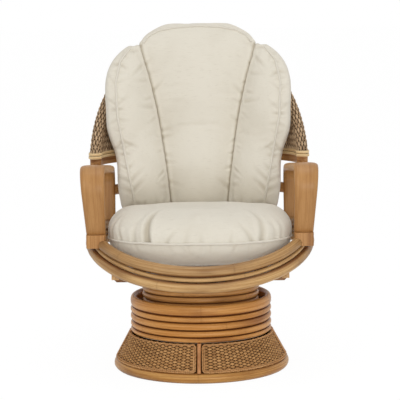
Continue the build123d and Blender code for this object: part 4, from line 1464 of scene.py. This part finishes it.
    def build_binding(self) -> None:
        """Lay two flat pale strands round the shell's foot, inside and out."""
        angles = np.linspace(0, math.pi, 160)
        outer = self.plan(angles, -self.binding_gap)
        inner = self.plan(angles[::-1], self.thickness + self.binding_gap)
        radius = self.thickness / 2 + self.binding_gap
        middle = self.half - self.thickness / 2
        turn = np.linspace(0, math.pi, 16)[1:-1]
        left, right = (
            np.stack([end - radius * np.cos(turn), self.front - radius * np.sin(turn)], axis=1)
            for end in (-middle, middle)
        )
        plan = resample(np.concatenate([outer, left, inner, right]), 520, closed=True)
        ahead = np.roll(plan[:-1], -1, axis=0) - np.roll(plan[:-1], 1, axis=0)
        ahead = np.concatenate([ahead, ahead[:1]])
        up = unit(np.stack([ahead[:, 1], -ahead[:, 0], np.zeros(len(ahead))], axis=1))
        levels = (np.full(len(plan), level) for level in self.binding_levels)
        Strands(
            "back_binding",
            np.array([self.lifted(plan, level) for level in levels]),
            across=0.0045,
            through=0.0017,
            sides=12,
            closed=True,
            up=up[None],
            squareness=2.2,
            start=0.4,
        ).lay(PALE_CANE, "seat", "pale_cane", "back_binding_cane")

    def build(self) -> None:
        """Make the skins, the rim and the binding."""
        self.build_skin("rear", 0.0, 1)
        self.build_skin("front", self.thickness, -1)
        self.build_rim()
        self.build_binding()


# ---------------------------------------------------------------- cushions


@dataclass
class Stuffing:
    """Turns a plain cushion solid of the frame into a filled cover."""

    voxel: float = 0.005
    pressure: float = 3.0
    frames: int = 16
    most: float = 0.0065
    ease: float = 0.004

    def remeshed(self, node: str, name: str) -> bpy.types.Object:
        """Copy a node's mesh, merge it and remesh it evenly."""
        source = bpy.data.objects[node]
        piece = bpy.data.objects.new(name, source.data.copy())
        bpy.context.scene.collection.objects.link(piece)
        in_edit_mode(piece, lambda: bpy.ops.mesh.remove_doubles(threshold=1e-5))
        apply_modifier(piece, "REMESH", mode="VOXEL", voxel_size=self.voxel)
        apply_modifier(piece, "SMOOTH", factor=0.8, iterations=12)
        return piece

    def inflate(self, piece: bpy.types.Object, hold: Array) -> None:
        """Fill the cover by cloth simulation and cap how far it moves.

        Args:
            piece: The remeshed cover.
            hold: How firmly each vertex stays, 0 to 1.
        """
        rest = read_points(piece)
        write_points(piece, rest - read_normals(piece) * self.ease * (1 - hold)[:, None])
        group = piece.vertex_groups.new(name="held")
        for index in np.flatnonzero(hold > 0.02):
            group.add([int(index)], float(hold[index]), "REPLACE")
        modifier = piece.modifiers.new("Cloth", "CLOTH")
        cloth = modifier.settings
        cloth.quality = 5
        cloth.mass = 0.3
        cloth.tension_stiffness = 8
        cloth.compression_stiffness = 8
        cloth.bending_stiffness = 0.6
        cloth.use_pressure = True
        cloth.uniform_pressure_force = self.pressure
        cloth.effector_weights.gravity = 0
        cloth.shrink_min = -0.01
        cloth.vertex_group_mass = group.name
        modifier.collision_settings.use_collision = False
        for frame in range(1, self.frames + 1):
            bpy.context.scene.frame_set(frame)
        select_only(piece)
        bpy.ops.object.modifier_apply(modifier=modifier.name)
        bpy.context.scene.frame_set(1)
        move = read_points(piece) - rest
        length = np.maximum(np.linalg.norm(move, axis=1, keepdims=True), 1e-9)
        write_points(piece, rest + move / length * self.most * np.tanh(length / self.most))
        piece.vertex_groups.clear()
        apply_modifier(piece, "SMOOTH", factor=0.5, iterations=6)


@dataclass(frozen=True)
class Crease:
    """One short sharp fold that starts at a seam.

    Attributes:
        spot: Distance along the seam at which it starts.
        slant: How far it drifts along the seam for each step away from it.
        reach: Its length.
        width: Half width of its valley.
        depth: Its depth.
    """

    spot: float
    slant: float
    reach: float
    width: float
    depth: float


def gathers(
    length: float, pitch: float, depth: float, reach: tuple[float, float], seed: int
) -> list[Crease]:
    """Spread creases unevenly along a seam, the same way each time.

    Args:
        length: The seam's length.
        pitch: Mean distance between creases.
        depth: Depth of the deepest.
        reach: Shortest and longest.
        seed: Fixes their places.

    Returns:
        The creases.
    """
    rng = np.random.default_rng(seed)
    creases, spot = [], pitch * rng.uniform(0.2, 0.8)
    while spot < length:
        long = rng.uniform(*reach)
        slant, share = rng.uniform(-0.7, 0.7), rng.uniform(0.3, 1.0)
        creases.append(Crease(spot, slant, long, 0.0030 + 0.06 * long, depth * share))
        spot += pitch * rng.uniform(0.45, 1.6)
    return creases


def gather(creases: list[Crease], where: Array, away: Array) -> tuple[Array, Array]:
    """Work out how creases move a cover.

    Args:
        creases: The folds.
        where: Distance along the seam of each point's nearest spot.
        away: Each point's distance from the seam.

    Returns:
        How far each point moves outward, and how much painted shade its crease gives it.
    """
    shift, fold = np.zeros(len(where)), np.zeros(len(where))
    for crease in creases:
        across = np.abs(where - crease.spot - crease.slant * away) / crease.width
        fade = np.clip(1 - away / crease.reach, 0, 1) * smooth_step(0.0, 0.008, away)
        valley = bell(across, 1.0) * fade
        ridge = bell(across - 2.0, 1.0) * fade
        shift += crease.depth * (0.6 * ridge - valley)
        # Painted shade in each crease's valley.
        fold += 0.8 * valley * crease.depth / 0.004
    return shift, np.clip(fold, 0, 1)


def near_piece(points: Array, node: str) -> Array:
    """Return each point's distance from a node of the frame."""
    mesh = bpy.data.objects[node].data
    corners = [vertex.co for vertex in mesh.vertices]
    tree = BVHTree.FromPolygons(corners, [list(face.vertices) for face in mesh.polygons])
    return np.array([tree.find_nearest(Vector(point))[3] for point in points])


def near_polyline(points: Array, line: Array) -> tuple[Array, Array]:
    """Measure how far points are from a polyline.

    Args:
        points: Rows of coordinates.
        line: The polyline's points, in as many dimensions.

    Returns:
        The distances and the distance travelled along the line to the nearest spot.
    """
    best = np.full(len(points), np.inf)
    where = np.zeros(len(points))
    travelled = 0.0
    for start, end in zip(line, line[1:]):
        way = end - start
        length = float(np.linalg.norm(way))
        share = np.clip((points - start) @ way / max(length**2, 1e-12), 0, 1)
        away = np.linalg.norm(points - start - share[:, None] * way, axis=1)
        closer = away < best
        best = np.where(closer, away, best)
        where = np.where(closer, travelled + share * length, where)
        travelled += length
    return best, where


@dataclass
class SeatCushion:
    """The round seat cushion with one line of piping."""

    half_width: float = 0.284
    front: float = -0.292
    rear: float = 0.208
    squareness: float = 2.3
    origin: float = 0.200
    lean: float = math.radians(2.5)
    seam: float = 0.2145
    cord: float = 0.0038
    tucks: tuple[tuple[float, float, float], ...] = (
        (0.405, -0.25, 0.010),
        (0.615, 0.3, 0.0045),
        (0.1, 0.2, 0.006),
        (0.9, -0.2, 0.006),
    )
    tuck_size: tuple[float, float] = (0.17, 0.010)
    stuffing: Stuffing = field(default_factory=Stuffing)

    def seam_line(self, steps: int = 241) -> Array:
        """Return the piping's line before it is drawn on to the cover."""
        angle = np.linspace(0, TURN, steps) + math.pi / 2
        x = self.half_width * squared(np.cos(angle), self.squareness)
        depth, middle = (self.rear - self.front) / 2, (self.rear + self.front) / 2
        y = middle + depth * squared(np.sin(angle), self.squareness)
        fall = (y - self.seam * math.sin(self.lean)) * math.tan(self.lean)
        return np.stack([x, y, self.origin + self.seam * math.cos(self.lean) - fall], axis=1)

    def pleat(self, piece: bpy.types.Object, seam: Array) -> None:
        """Pull the cover in along its seam and gather it into short folds."""
        points, normals = read_points(piece), read_normals(piece)
        away, where = near_polyline(points, seam)
        above = points[:, 2] > np.interp(where, np.linspace(0, where.max(), len(seam)), seam[:, 2])
        length = float(where.max())
        tucks = [
            Crease(length * share, slant, *self.tuck_size, depth)
            for share, slant, depth in self.tucks
        ]
        upper = gather(tucks + gathers(length, 0.055, 0.0042, (0.04, 0.10), 7), where, away)
        lower = gather(gathers(length, 0.075, 0.0026, (0.03, 0.06), 8), where, away)
        shift, fold = (np.where(above, up, down) for up, down in zip(upper, lower))
        pull = -0.0034 * bell(away, 0.007)
        lift, sink = self.settled(points)
        points = points + normals * (pull + shift + lift)[:, None]
        points[:, 2] -= sink
        write_points(piece, points)
        # Painted shade in the creases' valleys and along the seam.
        write_attribute(piece, "fold", np.clip(fold + 0.4 * bell(away, 0.006), 0, 1))

    def settled(self, points: Array) -> tuple[Array, Array]:
        """Return how much fuller a sat-in top's corners are and how much lower its crown."""
        x, y, z = points.T
        upper = smooth_step(0.008, 0.050, z - self.origin - self.seam)
        crown = bell(x, 0.150) * bell(y + 0.02, 0.240)
        corner = bell(np.abs(x) - 0.235, 0.060) * bell(y + 0.03, 0.190)
        return 0.015 * upper * corner, 0.011 * upper * crown

    def build(self) -> None:
        """Make the cushion and its piping."""
        cover = self.stuffing.remeshed("seat_cushion", "seat_cover")
        seam = self.seam_line()
        away, _ = near_polyline(read_points(cover), seam)
        self.stuffing.inflate(cover, bell(away, 0.008))
        apply_modifier(cover, "SUBSURF", levels=1, render_levels=1)
        self.pleat(cover, seam)
        select_only(cover)
        bpy.ops.object.shade_smooth()
        dress(cover, COVER, "seat", "cushion_cloth", "seat_cushion")
        piping(cover, "seat_piping", seam, self.cord, closed=True)


def piping(cover: bpy.types.Object, name: str, line: Array, radius: float, closed: bool) -> None:
    """Sew a covered cord on to a cushion.

    Args:
        cover: The cushion's cover.
        name: The cord's name.
        line: Where it should run; each point is moved to the cover's nearest spot.
        radius: The cord's half thickness.
        closed: True if it goes all the way round.
    """
    tree = BVHTree.FromObject(cover, bpy.context.evaluated_depsgraph_get())
    spots, normals = [], []
    for point in resample(line, 400):
        hit, normal, _, _ = tree.find_nearest(Vector(point))
        spots.append(hit)
        normals.append(normal)
    spots, normals = np.array(spots), np.array(normals)
    half = 4
    kernel = np.full(2 * half + 1, 1 / (2 * half + 1))
    for rows in (spots, normals):
        for column in rows.T:
            if closed:
                padded = np.concatenate([column[-half - 1 : -1], column, column[1 : half + 1]])
            else:
                padded = np.pad(column, half, mode="edge")
            column[:] = np.convolve(padded, kernel, mode="valid")
    if closed:
        spots[-1] = spots[0]
        normals[-1] = normals[0]
    normals = unit(normals)
    spots = spots + normals * radius * 0.45
    cord = Strands(name, spots[None], radius, radius, sides=10, closed=closed, up=normals[None])
    cord.lay(PIPING, "seat", "cushion_cloth")


@dataclass
class BackCushion:
    """The back cushion: a centre panel, two wings, channels between and piping on all three.

    Its seams are rows of X and Z, seen from the front, on the right-hand side.
    """

    edges: tuple[tuple[float, float], ...] = (
        (0.205, 0.500),
        (0.222, 0.590),
        (0.240, 0.680),
        (0.256, 0.760),
        (0.262, 0.870),
        (0.248, 0.935),
        (0.205, 0.985),
    )
    crown: tuple[tuple[float, float], ...] = (
        (0.176, 0.985),
        (0.160, 1.006),
        (0.125, 1.024),
        (0.070, 1.034),
        (0.0, 1.037),
    )
    foot: tuple[tuple[float, float], ...] = ((0.0, 0.488), (0.210, 0.494))
    settle: float = 0.016
    cord: float = 0.0032
    stuffing: Stuffing = field(default_factory=Stuffing)

    def pleat(self, piece: bpy.types.Object, lines: list[tuple[Array, float, float]]) -> None:
        """Gather the cover along seams seen from the front, and rest it on the seat.

        Args:
            piece: The cover.
            lines: Seams as rows of X and Z, the pitch of their creases and the creases' depth.
        """
        points, normals = read_points(piece), read_normals(piece)
        facing = smooth_step(-0.1, 0.5, -normals[:, 1])
        shift, sewn = np.zeros(len(points)), np.zeros(len(points))
        piece.data.attributes["sewn"].data.foreach_get("value", sewn)
        # Painted shade along the seams to the next lobe, then in the creases' valleys.
        fold = facing * sewn
        for index, (line, pitch, depth) in enumerate(lines):
            away, where = near_polyline(points[:, [0, 2]], line)
            seed = 11 * len(lines) + index
            creases = gathers(float(where.max()), pitch, depth, (0.020, 0.062), seed)
            moved, deep = gather(creases, where, away)
            shift += facing * moved
            fold += facing * deep
        points = points + normals * shift[:, None]
        points[:, 2] -= self.settle * smooth_step(0.0, 0.075, 0.560 - points[:, 2])
        write_points(piece, points)
        write_attribute(piece, "fold", np.clip(fold, 0, 1))

    def channel(self, points: Array, normals: Array) -> Array:
        """Return the right-hand channel's seam: where the centre panel's front ends."""
        front = points[normals[:, 1] < -0.35]
        line = []
        for level in np.linspace(0.500, 0.965, 15):
            near = np.abs(front[:, 2] - level) < 0.006
            line.append((np.abs(front[near, 0]).max() + 0.004, level))
        slope = (line[-1][0] - line[-3][0]) / (line[-1][1] - line[-3][1])
        return np.array([(line[0][0], 0.470), *line, (line[-1][0] + 0.02 * slope, 0.985)])

    def fill(self, cover: bpy.types.Object, *others: str) -> None:
        """Fill one lobe's cover, held where it is sewn to the lobes beside it."""
        rest = read_points(cover)
        away = np.min([near_piece(rest, f"back_cushion_{other}") for other in others], axis=0)
        sewn = bell(np.maximum(away - 0.003, 0), 0.009)
        self.stuffing.inflate(cover, sewn)
        write_points(cover, read_points(cover) + read_normals(cover) * (0.0018 * sewn)[:, None])
        # Kept for the painted shade along the seams, in pleat.
        write_attribute(cover, "sewn", bell(np.maximum(away - 0.002, 0), 0.003))
        apply_modifier(cover, "SUBSURF", levels=1, render_levels=1)

    def sew_cord(self, name: str, cover: bpy.types.Object, flat: Array) -> None:
        """Sew piping on a cover where a seam, seen from the front, meets it."""
        tree = BVHTree.FromObject(cover, bpy.context.evaluated_depsgraph_get())
        ahead = Vector((0, 1, 0))
        casts = [tree.ray_cast(Vector((x, -1.0, z)), ahead)[0] for x, z in resample(flat, 60)]
        line = np.array([hit for hit in casts if hit])
        piping(cover, f"back_piping_{name}", line, self.cord, closed=False)

    def build(self) -> None:
        """Make the three lobes and their piping."""
        lobes = {
            name: self.stuffing.remeshed(f"back_cushion_{name}", f"back_cover_{name}")
            for name in ("centre", "wing_left", "wing_right")
        }
        channel = self.channel(read_points(lobes["centre"]), read_normals(lobes["centre"]))
        self.fill(lobes["centre"], "wing_left", "wing_right")
        self.fill(lobes["wing_left"], "centre")
        self.fill(lobes["wing_right"], "centre")
        edge, foot, crown = np.array(self.edges), np.array(self.foot), np.array(self.crown)
        mirror = np.array([-1.0, 1.0])
        self.pleat(lobes["centre"], [(channel, 0.045, 0.0034), (channel * mirror, 0.047, 0.0034)])
        self.pleat(
            lobes["wing_right"],
            [(channel, 0.045, 0.003), (edge, 0.028, 0.0036), (foot, 0.03, 0.004)],
        )
        self.pleat(
            lobes["wing_left"],
            [
                (channel * mirror, 0.043, 0.003),
                (edge * mirror, 0.030, 0.0036),
                (foot * mirror, 0.031, 0.004),
            ],
        )
        for name, cover in lobes.items():
            select_only(cover)
            bpy.ops.object.shade_smooth()
            dress(cover, COVER, "seat", "cushion_cloth", f"back_cushion_{name}")
        self.sew_cord("left", lobes["wing_left"], edge * mirror)
        self.sew_cord("right", lobes["wing_right"], edge)
        self.sew_cord("crown", lobes["centre"], np.concatenate([crown * mirror, crown[-2::-1]]))


# ---------------------------------------------------------------- plain nodes


NODE_FINISHES: dict[Finish, tuple[str, ...]] = {
    POST_CANE: ("skirt_posts",),
    BOARD_Y: ("base_bearer_long", "seat_side_board_left", "seat_side_board_right"),
    BOARD_X: ("base_bearer_cross", "seat_slats"),
    BEARER_WOOD: ("seat_bearer_front", "seat_bearer_rear"),
    STEEL: ("swivel_base_plate", "swivel_turn_plate", "rocker_cradle", "rocker_bracket"),
    NYLON: ("swivel_thrust_ring",),
    BRIGHT: (
        "swivel_plate_bolts",
        "swivel_spindle",
        "rocker_pivot_pin",
        "rocker_springs_front",
        "rocker_springs_rear",
        "rocker_plate_bolts",
    ),
    POST_POLE: (
        "arm_foot_left",
        "arm_foot_right",
        "back_post_left",
        "back_post_right",
        "back_ribs",
    ),
    RAIL_POLE: ("back_mid_rail", "back_lower_rail", "back_arch_pole"),
}


def dress_nodes(nodes: dict[str, bpy.types.Object]) -> None:
    """Give every node that stays in view its finish."""
    for finish, names in NODE_FINISHES.items():
        for name in names:
            piece = nodes[name]
            piece.data.materials.clear()
            piece.data.materials.append(finish.material())
            LOG.info("%s: node in %s", name, finish.name)


# ---------------------------------------------------------------- studio


@dataclass
class Studio:
    """A white sweep, soft lamps and the camera of the photograph."""

    camera: tuple[float, float, float] = (0.0, -6.0, 1.365)
    pitch: float = math.radians(81.99)
    roll: float = math.radians(-0.75)
    lens: float = 176.04
    shift: float = 0.00125
    target: tuple[float, float, float] = (0.0, 0.0, 0.5)

    def floor_material(self) -> bpy.types.Material:
        """Build a white floor that keeps a soft shadow."""
        material = bpy.data.materials.new("studio_floor")
        material.use_nodes = True
        graph = Graph(material.node_tree)
        matt = graph.add("ShaderNodeBsdfDiffuse", {"Color": (0.9, 0.9, 0.9, 1)})
        glow = graph.add("ShaderNodeEmission", {"Color": (1, 1, 1, 1), "Strength": 1.02})
        share = graph.math("MULTIPLY", graph.seen(), 0.94)
        mix = graph.add("ShaderNodeMixShader", {0: share, 1: matt.outputs[0], 2: glow.outputs[0]})
        graph.add("ShaderNodeOutputMaterial", {"Surface": mix.outputs[0]})
        return material

    def build(self) -> None:
        """Set the floor, the world, the lamps and the camera."""
        select_only()
        bpy.ops.mesh.primitive_plane_add(size=40.0, location=(0, 0, 0))
        floor = bpy.context.active_object
        floor.name = "studio_floor"
        floor.data.materials.append(self.floor_material())
        world = bpy.data.worlds.new("studio_world")
        bpy.context.scene.world = world
        world.use_nodes = True
        graph = Graph(world.node_tree)
        plain = graph.add("ShaderNodeBackground", {"Color": (1, 1, 1, 1), "Strength": 0.70})
        white = graph.add("ShaderNodeBackground", {"Color": (1, 1, 1, 1), "Strength": 1.0})
        looks = {0: graph.seen(), 1: plain.outputs[0], 2: white.outputs[0]}
        mix = graph.add("ShaderNodeMixShader", looks)
        graph.add("ShaderNodeOutputWorld", {"Surface": mix.outputs[0]})
        for name, place, size, power in (
            ("key_lamp", (-1.8, -3.2, 2.2), 1.4, 17.0),
            ("fill_lamp", (1.0, -4.0, 0.4), 2.4, 60.0),
            ("top_lamp", (0.3, -0.2, 3.4), 1.6, 16.0),
        ):
            lamp = bpy.data.lights.new(name, "AREA")
            lamp.size = size
            lamp.energy = power
            holder = bpy.data.objects.new(name, lamp)
            holder.location = place
            aim = Vector(self.target) - Vector(place)
            holder.rotation_euler = aim.to_track_quat("-Z", "Y").to_euler()
            bpy.context.scene.collection.objects.link(holder)
        eye = bpy.data.cameras.new("studio_camera")
        eye.lens = self.lens
        eye.sensor_width = 36.0
        eye.shift_x = self.shift
        eye.clip_end = 60.0
        holder = bpy.data.objects.new("studio_camera", eye)
        holder.location = self.camera
        aim = Matrix.Rotation(self.pitch, 3, "X") @ Matrix.Rotation(self.roll, 3, "Z")
        holder.rotation_euler = aim.to_euler()
        bpy.context.scene.collection.objects.link(holder)
        bpy.context.scene.camera = holder
        bpy.context.scene.view_settings.view_transform = "Standard"


def main() -> None:
    """Load the frame and build every sub-assembly."""
    logging.basicConfig(level=logging.INFO, format="%(name)s: %(message)s")
    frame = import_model()
    dress_nodes(frame["nodes"])
    hoops = Hoops()
    hoops.build()
    Skirt().build()
    Arms().build(hoops)
    Shell().build()
    SeatCushion().build()
    BackCushion().build()
    Studio().build()


if __name__ == "__main__":
    main()
